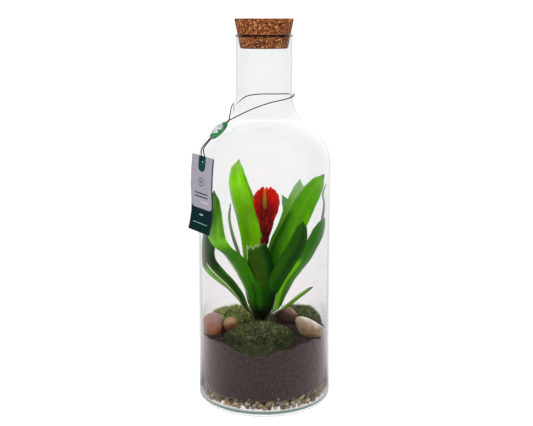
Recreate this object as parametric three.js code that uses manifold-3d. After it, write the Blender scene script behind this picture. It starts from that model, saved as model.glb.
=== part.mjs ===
// A bromeliad planted in a corked glass bottle: drainage gravel, potting soil, moss cushions and
// pebbles inside, and a card tag hung from an elastic cord round the neck.
// Millimetres, +Z up. The origin is the middle of the bottle's flat base. The front faces -Y.
import * as THREE from "three";
import { mergeVertices } from "three/addons/utils/BufferGeometryUtils.js";
import Module from "manifold-3d";

const wasm = await Module();
wasm.setup();

// Driving dimensions
const GLASS_HEIGHT = 440; // bottle without its cork
const BODY_RADIUS = 80; // outside
const NECK_RADIUS = 34; // outside
const BODY_WALL = 3.2;
const NECK_WALL = 2.7;
const FLOOR_THICKNESS = 7;
const BASE_CORNER = 9; // outside radius where the wall meets the base
const INNER_CORNER = 4;
const NECK_FOOT = 372; // height where the shoulder starts to flare
const BODY_TOP = 292; // height where the shoulder reaches the straight wall
const ROUND_STEPS = 40; // facets round the bottle and what fits inside it
const GAP = 0.3; // between pieces that touch
const FIT_RADIUS = BODY_RADIUS - BODY_WALL - 2 * GAP; // what lies against the inner wall
const CORK_TOP_RADIUS = 34.4;
const CORK_FOOT_RADIUS = 27.9;
const CORK_HEIGHT = 34;
const CORK_ABOVE_RIM = 18;
const GRAVEL_TOP = 20; // highest stone of the drainage layer
const SOIL_LEVEL = 87; // mean height of the soil
const PLANT_X = -4; // the rosette's axis
const PLANT_Y = 4;
const CROWN_RADIUS = 5.5; // short stem that carries the leaves
const SHEATH_FOOT = 82; // height where the leaf sheaths start
const SHEATH_REACH = 21.5; // radius of the hole in the soil that the sheaths stand in
const CROWN_FOOT = 60; // height of the stem's rooted end
const LEAF_THICKNESS = 0.9;
const CORD_RADIUS = 0.6;
const TAG_WIDTH = 38.5;
const TAG_HEIGHT = 89;
const TAG_THICKNESS = 1.6;
const SEED = 20;
const SLIVER = 0.01; // corners nearer than this are one
const UP = new THREE.Vector3(0, 0, 1);

const glass = new THREE.MeshStandardMaterial({
  color: "#eef3f0",
  roughness: 0.03,
  metalness: 0,
  transparent: true,
  opacity: 0.3,
});
const corkBark = new THREE.MeshStandardMaterial({ color: "#a8622f", roughness: 0.85 });
const gravelStone = new THREE.MeshStandardMaterial({ color: "#94876f", roughness: 0.8 });
const pottingSoil = new THREE.MeshStandardMaterial({ color: "#3b2b24", roughness: 0.95 });
const moss = new THREE.MeshStandardMaterial({ color: "#4c6428", roughness: 0.95 });
const pinkPebble = new THREE.MeshStandardMaterial({ color: "#a67868", roughness: 0.45 });
const amberPebble = new THREE.MeshStandardMaterial({ color: "#a9713d", roughness: 0.45 });
const brownPebble = new THREE.MeshStandardMaterial({ color: "#71503f", roughness: 0.5 });
const tanPebble = new THREE.MeshStandardMaterial({ color: "#a98a68", roughness: 0.5 });
const leafGreen = new THREE.MeshStandardMaterial({ color: "#3f7d12", roughness: 0.4 });
const crownGreen = new THREE.MeshStandardMaterial({ color: "#7c8050", roughness: 0.6 });
const stalkRed = new THREE.MeshStandardMaterial({ color: "#4a0a0c", roughness: 0.5 });
const bractRed = new THREE.MeshStandardMaterial({ color: "#b80a06", roughness: 0.45 });
const tagCard = new THREE.MeshStandardMaterial({ color: "#b5aeb8", roughness: 0.7 });
const cordElastic = new THREE.MeshStandardMaterial({ color: "#26201f", roughness: 0.7 });
const sealPlastic = new THREE.MeshStandardMaterial({ color: "#2f7d46", roughness: 0.35 });

const model = new THREE.Group();

function addPiece(name, geometry, material) {
  const mesh = new THREE.Mesh(geometry, material);
  mesh.name = name;
  model.add(mesh);
}

function solidFrom(geometry) {
  const bare = geometry.clone();
  bare.deleteAttribute("normal");
  bare.deleteAttribute("uv");
  const merged = mergeVertices(bare, 1e-4);
  return new wasm.Manifold(
    new wasm.Mesh({
      numProp: 3,
      vertProperties: merged.attributes.position.array,
      triVerts: new Uint32Array(merged.index.array),
    }),
  );
}

function geometryFrom(solid) {
  const mesh = solid.getMesh();
  const geometry = new THREE.BufferGeometry();
  geometry.setAttribute("position", new THREE.BufferAttribute(mesh.vertProperties, 3));
  geometry.setIndex(new THREE.BufferAttribute(mesh.triVerts, 1));
  return geometry;
}

function largestBody(solid) {
  return solid.decompose().sort((a, b) => b.volume() - a.volume())[0];
}

// A cut piece without the scraps and slivers that its cuts leave
function trimmed(solid) {
  const merged = mergeVertices(geometryFrom(largestBody(solid)), SLIVER);
  return geometryFrom(largestBody(solidFrom(merged)));
}

function union(solids) {
  return solids.reduce((all, next) => all.add(next));
}

// Random draws that are the same each time
function seededRandom(seed) {
  let state = seed;
  return () => {
    state = (state * 1664525 + 1013904223) % 4294967296;
    return state / 4294967296;
  };
}

// A point of a profile: distance from the axis, and height
function rz(radius, height) {
  return new THREE.Vector2(radius, height);
}

function smoothStep(x) {
  const t = THREE.MathUtils.clamp(x, 0, 1);
  return t * t * (3 - 2 * t);
}

// Value of a list of [position, value] keys at x, eased between neighbours
function keyed(keys, x) {
  const next = keys.findIndex(([position]) => position >= x);
  if (next <= 0) return next === 0 ? keys[0][1] : keys[keys.length - 1][1];
  const [x0, y0] = keys[next - 1];
  const [x1, y1] = keys[next];
  const part = (x - x0) / (x1 - x0);
  return y0 + (y1 - y0) * 0.5 * (smoothStep(part) + part);
}

// Points of an arc from angle start to angle end, in degrees
function arc(centreR, centreZ, radius, start, end, steps) {
  return Array.from({ length: steps + 1 }, (_, i) => {
    const angle = THREE.MathUtils.degToRad(start + ((end - start) * i) / steps);
    return rz(centreR + radius * Math.cos(angle), centreZ + radius * Math.sin(angle));
  });
}

// A profile of radius and height, turned about the Z axis
function turned(profile, steps = ROUND_STEPS) {
  return new THREE.LatheGeometry(profile, steps).rotateX(Math.PI / 2);
}

function cylinder(radius, low, high, x = 0, y = 0, steps = ROUND_STEPS) {
  return turned([rz(0, low), rz(radius, low), rz(radius, high), rz(0, high)], steps).translate(x, y, 0);
}

// Closed solid between two like grids of points. Seen from the front, columns run right and rows run up.
function slab(front, back) {
  const rows = front.length;
  const columns = front[0].length;
  const points = [...front.flat(), ...back.flat()];
  const offset = rows * columns;
  const at = (i, j) => i * columns + j;
  const triangles = [];
  const quad = (a, b, c, d) => triangles.push(a, b, c, a, c, d);
  for (let i = 0; i < rows - 1; i++) {
    for (let j = 0; j < columns - 1; j++) {
      const [a, b, c, d] = [at(i, j), at(i, j + 1), at(i + 1, j + 1), at(i + 1, j)];
      quad(a, b, c, d);
      triangles.push(offset + a, offset + c, offset + b, offset + a, offset + d, offset + c);
    }
    quad(at(i, 0), at(i + 1, 0), offset + at(i + 1, 0), offset + at(i, 0));
    const last = columns - 1;
    quad(at(i + 1, last), at(i, last), offset + at(i, last), offset + at(i + 1, last));
  }
  for (let j = 0; j < columns - 1; j++) {
    quad(at(0, j + 1), at(0, j), offset + at(0, j), offset + at(0, j + 1));
    const top = rows - 1;
    quad(at(top, j), at(top, j + 1), offset + at(top, j + 1), offset + at(top, j));
  }
  const geometry = new THREE.BufferGeometry();
  const flat = new Float32Array(points.flatMap((p) => [p.x, p.y, p.z]));
  geometry.setAttribute("position", new THREE.BufferAttribute(flat, 3));
  geometry.setIndex(triangles);
  return geometry;
}

// Shoulder: a round arc over the body runs into a hollow arc under the neck, each through the same angle
const SHOULDER_DROP = NECK_FOOT - BODY_TOP;
const SHOULDER_SWEEP = 2 * Math.atan2(BODY_RADIUS - NECK_RADIUS, SHOULDER_DROP);
const NECK_SHARE = 0.475; // part of the drop that the arc under the neck takes
const NECK_ARC = (NECK_SHARE * SHOULDER_DROP) / Math.sin(SHOULDER_SWEEP);
const BODY_ARC = ((1 - NECK_SHARE) * SHOULDER_DROP) / Math.sin(SHOULDER_SWEEP);

// Outside radius of the glass at a height
function glassRadius(z) {
  if (z >= NECK_FOOT) return NECK_RADIUS;
  if (z <= BODY_TOP) return BODY_RADIUS;
  const below = NECK_FOOT - z;
  if (below < NECK_ARC * Math.sin(SHOULDER_SWEEP)) {
    return NECK_RADIUS + NECK_ARC - Math.sqrt(NECK_ARC ** 2 - below ** 2);
  }
  return BODY_RADIUS - BODY_ARC + Math.sqrt(BODY_ARC ** 2 - (z - BODY_TOP) ** 2);
}

// Bottle: one blown piece, open at the mouth
function bottleProfile() {
  const sweep = THREE.MathUtils.radToDeg(SHOULDER_SWEEP);
  const bodyInner = BODY_RADIUS - BODY_WALL;
  const neckInner = NECK_RADIUS - NECK_WALL;
  const lip = NECK_WALL / 2;
  const innerNeckArc = NECK_ARC + NECK_WALL;
  const innerBodyArc = BODY_ARC - BODY_WALL;
  return [
    rz(0, 0),
    ...arc(BODY_RADIUS - BASE_CORNER, BASE_CORNER, BASE_CORNER, -90, 0, 3),
    ...arc(BODY_RADIUS - BODY_ARC, BODY_TOP, BODY_ARC, 0, sweep, 5),
    ...arc(NECK_RADIUS + NECK_ARC, NECK_FOOT, NECK_ARC, 180 + sweep, 180, 5).slice(1),
    ...arc(NECK_RADIUS - lip, GLASS_HEIGHT - lip, lip, 0, 180, 3),
    ...arc(neckInner + innerNeckArc, NECK_FOOT, innerNeckArc, 180, 180 + sweep, 3),
    ...arc(bodyInner - innerBodyArc, BODY_TOP, innerBodyArc, sweep, 0, 3).slice(1),
    ...arc(bodyInner - INNER_CORNER, FLOOR_THICKNESS + INNER_CORNER, INNER_CORNER, 0, -90, 2),
    rz(0, FLOOR_THICKNESS),
  ];
}
addPiece("bottle", turned(bottleProfile()), glass);

// Cork: a tapered stopper of pressed granules, wedged in the mouth
function corkProfile() {
  const top = GLASS_HEIGHT + CORK_ABOVE_RIM;
  const foot = top - CORK_HEIGHT;
  const bevel = 1;
  return [
    rz(0, foot),
    rz(CORK_FOOT_RADIUS - bevel, foot),
    rz(CORK_FOOT_RADIUS, foot + bevel),
    rz(CORK_TOP_RADIUS, top - bevel),
    rz(CORK_TOP_RADIUS - bevel, top),
    rz(0, top),
  ];
}
addPiece("cork_stopper", turned(corkProfile()), corkBark);

// Gravel: a drainage layer of small stones on the glass floor. Two rings of stones show through the wall.
const GRAVEL_FOOT = FLOOR_THICKNESS + GAP;
const GRAVEL_CORE = [FIT_RADIUS - 4, GRAVEL_TOP - 4]; // radius and top of the stones behind the rings
const GRAVEL_REACH = FIT_RADIUS - 3.4; // middles of the rings' stones from the bottle's axis
const GRAVEL_COUNT = 25; // stones in a ring
// [height of the stones' middles, stone radius]
const GRAVEL_RINGS = [
  [GRAVEL_FOOT + 4, 8.2],
  [GRAVEL_TOP - 4.6, 7.8],
];

function gravelStoneSolid(radius, x, y, z, random) {
  const stone = new THREE.OctahedronGeometry(radius, 0);
  stone.scale(1, 0.75 + 0.3 * random(), 0.65 + 0.25 * random());
  stone.rotateX(6.3 * random()).rotateY(6.3 * random()).rotateZ(6.3 * random());
  return solidFrom(stone.translate(x, y, z));
}

// The room inside the bottle, rounded where its wall meets its floor
function roomProfile(top) {
  const corner = arc(FIT_RADIUS - INNER_CORNER, GRAVEL_FOOT + INNER_CORNER, INNER_CORNER, -90, 0, 2);
  return [rz(0, GRAVEL_FOOT), ...corner, rz(FIT_RADIUS, top), rz(0, top)];
}

function gravelSolid() {
  const random = seededRandom(SEED);
  const core = solidFrom(cylinder(GRAVEL_CORE[0], GRAVEL_FOOT, GRAVEL_CORE[1]));
  const stones = GRAVEL_RINGS.flatMap(([z, size], ring) =>
    Array.from({ length: GRAVEL_COUNT }, (_, i) => {
      const angle = ((i + 0.5 * ring + 0.3 * random()) * 2 * Math.PI) / GRAVEL_COUNT;
      const reach = GRAVEL_REACH + 1.4 * (random() - 0.5);
      const radius = size * (0.85 + 0.3 * random());
      return gravelStoneSolid(radius, reach * Math.cos(angle), reach * Math.sin(angle), z, random);
    }),
  );
  return union([core, ...stones]).intersect(solidFrom(turned(roomProfile(GRAVEL_TOP))));
}
addPiece("gravel_layer", trimmed(gravelSolid()), gravelStone);

// Soil: its top dips at the front glass and falls a little towards the back
function soilHeight(x, y) {
  const frontDip = 9 * Math.exp(-(((x + 4) / 30) ** 2)) * smoothStep((-y - 45) / 28);
  const backFall = 9 * smoothStep((y - 5) / 50);
  const waves = 1.6 * Math.sin(x / 9 + 1) * Math.cos(y / 11) + 0.9 * Math.sin((x + y) / 5);
  return SOIL_LEVEL + waves - frontDip - backFall;
}

function soilGeometry(raise = 0) {
  const rings = [0, 12, 25, 38, 50, 60, 69, FIT_RADIUS];
  const foot = GRAVEL_TOP + GAP;
  const point = (radius, step, height) => {
    const angle = (step * 2 * Math.PI) / ROUND_STEPS;
    const x = radius * Math.sin(angle);
    const y = -radius * Math.cos(angle);
    return [x, y, height ?? soilHeight(x, y) + raise];
  };
  const positions = [];
  const triangle = (a, b, c) => positions.push(...a, ...b, ...c);
  for (let s = 0; s < ROUND_STEPS; s++) {
    for (let r = 0; r < rings.length - 1; r++) {
      const [a, b] = [point(rings[r], s), point(rings[r + 1], s)];
      const [c, d] = [point(rings[r + 1], s + 1), point(rings[r], s + 1)];
      triangle(a, b, c);
      if (r > 0) triangle(a, c, d);
    }
    const [topA, topB] = [point(FIT_RADIUS, s), point(FIT_RADIUS, s + 1)];
    const [lowA, lowB] = [point(FIT_RADIUS, s, foot), point(FIT_RADIUS, s + 1, foot)];
    triangle(topA, lowA, lowB);
    triangle(topA, lowB, topB);
    triangle(lowA, [0, 0, foot], lowB);
  }
  const geometry = new THREE.BufferGeometry();
  geometry.setAttribute("position", new THREE.BufferAttribute(new Float32Array(positions), 3));
  return geometry;
}

// Pebbles: river stones, each half sunk in the soil. Lobes give each one its own form, and a taper makes
// its foot narrower than its top.
const PEBBLES = [
  {
    name: "pebble_pink",
    at: [-61.8, -18, 92.2],
    size: [13.4, 14, 17.8],
    turn: [0.2, 0.2, 0.1],
    lobes: [0.06, 0.05, 1.3],
    taper: 0.14,
    material: pinkPebble,
  },
  {
    name: "pebble_amber",
    at: [-38.2, -25, 96],
    size: [9.6, 9, 10.5],
    turn: [0.1, -0.4, 0.3],
    lobes: [0.1, 0.08, 4.1],
    taper: 0.1,
    material: amberPebble,
  },
  {
    name: "pebble_brown",
    at: [29, 17, 95],
    size: [13.5, 10, 10],
    turn: [0.1, 0.3, 0.4],
    lobes: [0.08, 0.1, 2.2],
    taper: 0.1,
    material: brownPebble,
  },
  {
    name: "pebble_tan",
    at: [53, -29, 91.5],
    size: [18, 13, 13],
    turn: [-0.15, 0.45, 0.3],
    lobes: [0.1, 0.06, 0.4],
    taper: 0.32,
    material: tanPebble,
  },
];

function pebbleSolid({ at, size, turn, lobes, taper }, grow = 0) {
  const stone = new THREE.IcosahedronGeometry(1, 2);
  const position = stone.attributes.position;
  const p = new THREE.Vector3();
  const [broad, fine, phase] = lobes;
  for (let i = 0; i < position.count; i++) {
    p.fromBufferAttribute(position, i);
    const lobe = broad * Math.sin(2.1 * p.x + phase) * Math.cos(1.7 * p.z + phase);
    const swell = 1 + lobe + fine * Math.sin(3.3 * p.y - 2.4 * p.x);
    const side = swell * (1 + taper * p.z);
    position.setXYZ(
      i,
      p.x * (size[0] + grow) * side,
      p.y * (size[1] + grow) * side,
      p.z * (size[2] + grow) * swell,
    );
  }
  stone.rotateX(turn[0]).rotateY(turn[1]).rotateZ(turn[2]).translate(...at);
  return solidFrom(stone);
}
const innerRoom = solidFrom(cylinder(FIT_RADIUS - GAP, FLOOR_THICKNESS, BODY_TOP));
const pebbles = PEBBLES.map((spec) => pebbleSolid(spec).intersect(innerRoom));
const pebbleSeats = PEBBLES.map((spec) => pebbleSolid(spec, 2 * GAP));
PEBBLES.forEach((spec, i) => addPiece(spec.name, geometryFrom(pebbles[i]), spec.material));

// Plant hole: the soil and moss stand clear of the sheaths in a plain round hole
const HOLE_TOP = 130; // above the soil and the moss
const holeRound = (radius, foot) => solidFrom(cylinder(radius, foot, HOLE_TOP, PLANT_X, PLANT_Y, 24));
const plantHole = holeRound(SHEATH_REACH, SHEATH_FOOT - 1);
const stemHole = holeRound(CROWN_RADIUS + GAP, CROWN_FOOT - GAP);
const soilHoles = union([plantHole, stemHole, ...pebbleSeats]);
addPiece("potting_soil", trimmed(solidFrom(soilGeometry()).subtract(soilHoles)), pottingSoil);

// Moss: lumpy cushions laid on the soil, pressed against the glass where they reach it
const MOSS_CUSHIONS = [
  {
    name: "moss_front",
    at: [-4, -47, 84],
    size: [40, 31, 19],
    lump: 1.5,
    steps: [28, 16],
  },
  {
    name: "moss_back_left",
    at: [-42, 40, 82],
    size: [37, 24, 14.5],
    turn: 0.45,
    lump: 1.2,
    steps: [24, 12],
  },
  {
    name: "moss_back_right",
    at: [47, 38, 80],
    size: [35, 23, 18.5],
    turn: -0.6,
    lump: 1.3,
    steps: [24, 12],
  },
];

function mossBlob({ at, size, lump, steps, turn = 0 }) {
  const blob = new THREE.SphereGeometry(1, ...steps).rotateX(Math.PI / 2);
  const position = blob.attributes.position;
  const p = new THREE.Vector3();
  for (let i = 0; i < position.count; i++) {
    p.fromBufferAttribute(position, i);
    const [x, y, z] = [p.x * size[0], p.y * size[1], p.z * size[2]];
    const rise = lump * (Math.sin(x / 3.1 + 2) * Math.cos(y / 2.7) + 0.6 * Math.sin(z / 2.3 + x / 5));
    p.set(x + p.x * rise, y + p.y * rise, z + p.z * rise);
    position.setXYZ(i, p.x, p.y, p.z);
  }
  return solidFrom(blob.rotateZ(turn).translate(...at));
}

const mossSeat = union([solidFrom(soilGeometry(GAP)), plantHole, ...pebbleSeats]);
for (const cushion of MOSS_CUSHIONS) {
  addPiece(cushion.name, trimmed(mossBlob(cushion).intersect(innerRoom).subtract(mossSeat)), moss);
}

// Crown: the rosette's short stem, rooted in the soil
const CROWN_TOP = 97; // just under the flower stalk
const CROWN_TAPER = [4, 5]; // height of the taper at its foot and at its top
const CROWN_ENDS = [4, 3.6]; // radius of its foot and of its top

function crownProfile() {
  return [
    rz(0, CROWN_FOOT),
    rz(CROWN_ENDS[0], CROWN_FOOT),
    rz(CROWN_RADIUS, CROWN_FOOT + CROWN_TAPER[0]),
    rz(CROWN_RADIUS, CROWN_TOP - CROWN_TAPER[1]),
    rz(CROWN_ENDS[1], CROWN_TOP),
    rz(0, CROWN_TOP),
  ];
}
addPiece("crown_stem", turned(crownProfile(), 20).translate(PLANT_X, PLANT_Y, 0), crownGreen);

// Leaves: strap-shaped, channelled blades that start as sheaths round the crown.
// root: azimuth in degrees, and radius where the sheath starts. face: azimuth that the under side of the
// blade looks at once it is free of the sheath, with tipFace near its tip. width: half the widest width.
// route: the blade's middle line.
// widths: [part of the length, part of that width] from the foot to the tip, STRAP unless a leaf says so.
const STRAP = [
  [0, 0.55],
  [0.12, 0.66],
  [0.35, 0.88],
  [0.6, 1],
  [0.78, 0.95],
  [0.87, 0.82],
  [0.94, 0.58],
  [1, 0.05],
];
const CUT_STRAP = [
  [0, 0.45],
  [0.15, 0.5],
  [0.35, 0.74],
  [0.65, 1],
  [0.85, 0.94],
  [1, 0.68],
];
const LEAVES = [
  {
    name: "leaf_back",
    root: [85, 6.8],
    face: 85,
    width: 9,
    route: [
      [-1.5, 16, 112], [6, 27, 135], [15, 36, 156], [23, 42, 178],
      [29, 46, 200], [31, 47, 219], [27, 46, 234], [22, 45, 243],
    ],
  },
  {
    name: "leaf_right_front",
    root: [320, 6.8],
    face: 284,
    width: 11.5,
    route: [
      [3, -11, 118], [13, -22, 146], [25, -31, 172], [36, -34.5, 191],
      [42, -35.5, 207], [45, -35, 227],
    ],
  },
  {
    name: "leaf_left_tall",
    root: [125, 8.1],
    face: 100,
    width: 14.5,
    route: [
      [-9.5, 11, 112], [-13, 15, 165], [-16, 18, 200], [-21, 20, 222],
      [-27, 22, 243], [-32.5, 23, 264], [-33, 23, 279], [-30.4, 22, 291],
    ],
  },
  {
    name: "leaf_right_tall",
    root: [5, 8.1],
    face: 75,
    width: 14.5,
    route: [
      [5, 4, 115], [12.5, 5, 150], [22.5, 4, 184], [30.5, 3, 200],
      [42, 1, 225], [49, -1, 241], [57, -3, 255.5], [64, -5, 267],
      [71.2, -6, 277],
    ],
  },
  {
    name: "leaf_right_back",
    root: [45, 9.4],
    face: 80,
    width: 13,
    route: [
      [4, 15, 112], [12, 25, 160.7], [20, 31, 185], [27.5, 33, 200],
      [34, 35, 218], [39.5, 35, 236], [43, 35, 252], [44.2, 35, 264.4],
    ],
  },
  {
    name: "leaf_left_front",
    root: [212, 9.4],
    face: 236,
    tipFace: 226,
    width: 15,
    route: [
      [-14, -4, 112], [-19.5, -15, 141], [-28, -27, 165], [-38, -35, 183],
      [-49, -41, 194.5], [-55.5, -42.5, 206], [-58, -42.5, 226], [-57.6, -42, 247],
      [-56.5, -41, 264],
    ],
  },
  {
    name: "leaf_back_upright",
    root: [104, 10.7],
    face: 98,
    width: 12,
    route: [
      [-7, 19, 112], [-12, 34, 161.9], [-18, 44, 201.7], [-23.5, 49, 238],
    ],
  },
  {
    name: "leaf_front_cut",
    root: [284, 10.7],
    face: 272,
    width: 15.5,
    widths: CUT_STRAP,
    route: [
      [0, -11.5, 110], [0.2, -17, 127], [-2, -26, 154], [-5, -33, 178],
      [-10.4, -41, 201.5],
    ],
  },
  {
    name: "leaf_left_edge",
    root: [155, 12],
    face: 172,
    width: 7,
    route: [
      [-18, 14, 113], [-25, 26, 143], [-33, 36, 168.3], [-40.5, 41, 189.8],
      [-45, 43, 214.9], [-42.1, 41, 233],
    ],
  },
  {
    name: "leaf_right_low",
    root: [343, 13.5],
    face: 312,
    width: 13.5,
    route: [
      [18.5, -2, 112], [23, -3, 127], [29.3, -4, 143], [38, -5, 156],
      [48.3, -6, 170.5], [56.3, -6, 185], [64, -5, 200], [69, -2, 211],
      [73.3, 1, 223],
    ],
  },
  {
    name: "leaf_right_narrow",
    root: [25, 13.3],
    face: 8,
    width: 4.5,
    route: [
      [14, 13, 112], [33, 20, 148], [53, 22, 176], [68, 19, 202],
      [73, 13, 222], [74, 9, 238], [71.6, 7, 252], [74.8, 4, 264],
    ],
  },
  {
    name: "leaf_far_left",
    root: [190, 16.5],
    face: 246,
    tipFace: 222,
    width: 12,
    route: [
      [-25, 2, 109], [-35, 0, 128], [-45.5, -5, 142], [-56, -9, 153.5],
      [-64, -11, 163], [-69, -12.5, 172.5], [-70.2, -13, 182], [-68, -14, 197],
      [-66.5, -14, 214], [-66, -14, 234],
    ],
  },
  {
    name: "leaf_back_right_low",
    root: [62, 14.6],
    face: 60,
    width: 11,
    route: [
      [5, 22, 108], [17, 39, 134], [27, 50, 155], [32, 54, 172],
    ],
  },
  {
    name: "leaf_back_left_low",
    root: [132, 14.6],
    face: 125,
    width: 10,
    route: [
      [-13, 21, 104], [-16, 37, 121], [-19, 49, 134], [-21, 56, 143],
    ],
  },
  {
    name: "leaf_right_small",
    root: [350, 18],
    face: 305,
    width: 4.8,
    route: [
      [21, -1, 104], [30, -4, 114.5], [42, -8, 126], [59, -8, 139.5],
    ],
  },
];
const LEAF_ROWS = 12;
const LEAF_COLUMNS = 4;
const ROWS_TO_TIP = 1.25; // above 1, the rows lie closer towards the tip
const BLADE_BEND = 0.42; // how far a free blade is channelled: radians from its middle line to its edge
const SHEATH_SPREAD = 0.6; // a sheath leans out by this much over its height
const SHEATH_HEIGHT = 9;

function leafCurve({ root, route }) {
  const [azimuth, radius] = root;
  const angle = THREE.MathUtils.degToRad(azimuth);
  const foot = (out, z) =>
    new THREE.Vector3(PLANT_X + out * Math.cos(angle), PLANT_Y + out * Math.sin(angle), z);
  const sheath = [foot(radius, SHEATH_FOOT), foot(radius + SHEATH_SPREAD, SHEATH_FOOT + SHEATH_HEIGHT)];
  const points = [...sheath, ...route.map((p) => new THREE.Vector3(...p))];
  const curve = new THREE.CatmullRomCurve3(points, false, "centripetal");
  curve.arcLengthDivisions = 60;
  return curve;
}

// Middle, directions, half width and channel of a leaf at each part of its length, 0 to 1
function leafFrame(spec, grow) {
  const { root, face, tipFace = face, width, widths = STRAP } = spec;
  const [rootAzimuth, rootRadius] = root;
  const rootBend = (width * widths[0][1]) / rootRadius;
  const curve = leafCurve(spec);
  return (t) => {
    const freeTurn = (face - rootAzimuth) * smoothStep((t - 0.05) / 0.4);
    const tipTurn = (tipFace - face) * smoothStep((t - 0.5) / 0.3);
    const azimuth = THREE.MathUtils.degToRad(rootAzimuth + freeTurn + tipTurn);
    const tangent = curve.getTangentAt(t);
    const across = new THREE.Vector3(-Math.sin(azimuth), Math.cos(azimuth), 0);
    across.addScaledVector(tangent, -across.dot(tangent)).normalize();
    return {
      centre: curve.getPointAt(t),
      across,
      inward: new THREE.Vector3().crossVectors(tangent, across),
      halfWidth: width * keyed(widths, t) + grow,
      bend: THREE.MathUtils.lerp(rootBend, BLADE_BEND, smoothStep(t / 0.8)),
    };
  };
}

// Where the blade is at a place across it, -1 to 1, and the direction of its upper face there
function acrossLeaf({ centre, across, inward, halfWidth, bend }, place) {
  const sideways = (halfWidth * Math.sin(bend * place)) / bend;
  const raise = (halfWidth * (1 - Math.cos(bend * place))) / bend;
  return {
    middle: centre.clone().addScaledVector(across, sideways).addScaledVector(inward, raise),
    normal: inward.clone().multiplyScalar(Math.cos(bend * place))
      .addScaledVector(across, -Math.sin(bend * place)),
  };
}

function leafSolid(spec, grow = 0) {
  const frameAt = leafFrame(spec, grow);
  const half = LEAF_THICKNESS / 2 + grow;
  const upper = [];
  const under = [];
  for (let i = 0; i < LEAF_ROWS; i++) {
    const row = frameAt(1 - (1 - i / (LEAF_ROWS - 1)) ** ROWS_TO_TIP);
    const places = [];
    for (let j = 0; j <= LEAF_COLUMNS; j++) places.push(acrossLeaf(row, (2 * j) / LEAF_COLUMNS - 1));
    upper.push(places.map(({ middle, normal }) => middle.clone().addScaledVector(normal, half)));
    under.push(places.map(({ middle, normal }) => middle.clone().addScaledVector(normal, -half)));
  }
  return solidFrom(slab(under, upper));
}

// Flower: a stalk up the middle of the rosette, and a flat head of two ranks of overlapping bracts
const STALK_ROUTE = [
  [PLANT_X, PLANT_Y, CROWN_TOP + GAP],
  [-3.2, 3, 120],
  [-1.6, 1.5, 155],
  [0.6, 0, 185],
  [1.9, -0.8, 203.7],
];
const STALK_RADIUS = 3.1;
const HEAD_FOOT = [2, -0.8, 205];
const HEAD_LEAN = 0.02; // radians to the right
const HEAD_NECK = [STALK_RADIUS + 0.5, -1, 14]; // radius, foot and top of the round neck under the bracts
const MIDDLE_BRACT = [57.5, 4.4]; // height and half-thickness
// [height of the bract's foot above the head's foot, reach of its tip to the side, height of its tip,
// half-thickness]
const BRACTS = [
  [6.5, 9.6, 21.5, 4.6],
  [8.5, 13, 29, 4.9],
  [11, 15.3, 36, 4.6],
  [13.5, 15.6, 43.3, 4.2],
  [16, 13, 49.6, 3.7],
  [18.5, 8.6, 54.6, 3.2],
  [21, 3.4, 57, 2.7],
];
const BRACT_HALF_WIDTH = 4.8;

// A long pointed scale along +Z with its foot at the origin, flat across Y
function bractGeometry(length, halfThickness, grow) {
  const scale = new THREE.SphereGeometry(1, 8, 6).rotateX(Math.PI / 2);
  const position = scale.attributes.position;
  for (let i = 0; i < position.count; i++) {
    const along = position.getZ(i);
    const taper = 1 - 0.28 * along;
    position.setX(i, position.getX(i) * (BRACT_HALF_WIDTH * taper + grow));
    position.setY(i, position.getY(i) * (halfThickness * taper + grow));
    position.setZ(i, 0.5 * length * (along + 1));
  }
  return scale;
}

function headSolid(grow = 0) {
  const pieces = BRACTS.flatMap(([start, reach, height, halfThickness]) =>
    [-1, 1].map((side) => {
      const lean = Math.atan2(reach, height - start);
      const length = Math.hypot(reach, height - start) + grow;
      return bractGeometry(length, halfThickness, grow).rotateY(side * lean).translate(0, 0, start);
    }),
  );
  const [neckRadius, neckFoot, neckTop] = HEAD_NECK;
  pieces.push(cylinder(neckRadius + grow, neckFoot, neckTop, 0, 0, 12));
  pieces.push(bractGeometry(MIDDLE_BRACT[0] + grow, MIDDLE_BRACT[1], grow));
  return union(pieces.map((piece) => solidFrom(piece.rotateY(HEAD_LEAN).translate(...HEAD_FOOT))));
}

// A round bar along a smooth curve through the points
function rod(points, radius, sides, steps) {
  const route = points.map((p) => new THREE.Vector3(...p));
  const curve = new THREE.CatmullRomCurve3(route, false, "centripetal");
  const section = new THREE.Shape();
  for (let i = 0; i < sides; i++) {
    const angle = (2 * Math.PI * i) / sides;
    const [x, y] = [radius * Math.cos(angle), radius * Math.sin(angle)];
    if (i === 0) section.moveTo(x, y);
    else section.lineTo(x, y);
  }
  section.closePath();
  return new THREE.ExtrudeGeometry(section, { steps, bevelEnabled: false, extrudePath: curve });
}
addPiece("flower_stalk", rod(STALK_ROUTE, STALK_RADIUS, 10, 12), stalkRed);
addPiece("flower_head", trimmed(headSolid()), bractRed);

// Each leaf is trimmed where it would run through the flower, the glass or a leaf nearer the middle.
const placed = [solidFrom(rod(STALK_ROUTE, STALK_RADIUS + GAP, 10, 12)), headSolid(GAP)];
for (const spec of LEAVES) {
  const leaf = placed.reduce((rest, inner) => rest.subtract(inner), leafSolid(spec).intersect(innerRoom));
  placed.push(leafSolid(spec, GAP));
  addPiece(spec.name, trimmed(leaf), leafGreen);
}

// Tag: a stiff card that hangs in front of the glass and bows out at its foot. It is punched near its top.
const TAG_AZIMUTH = 221.5; // where its face looks
const TAG_TOP_Z = 304.5;
const TAG_SIDE = -10.4; // middle of its top edge, sideways from the plane through the bottle's axis
const TAG_ROLL = 4.7; // its foot swings out by this much
const TAG_HOLE_RADIUS = 2;
const TAG_HOLE_DEPTH = 7; // below the top edge
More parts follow.
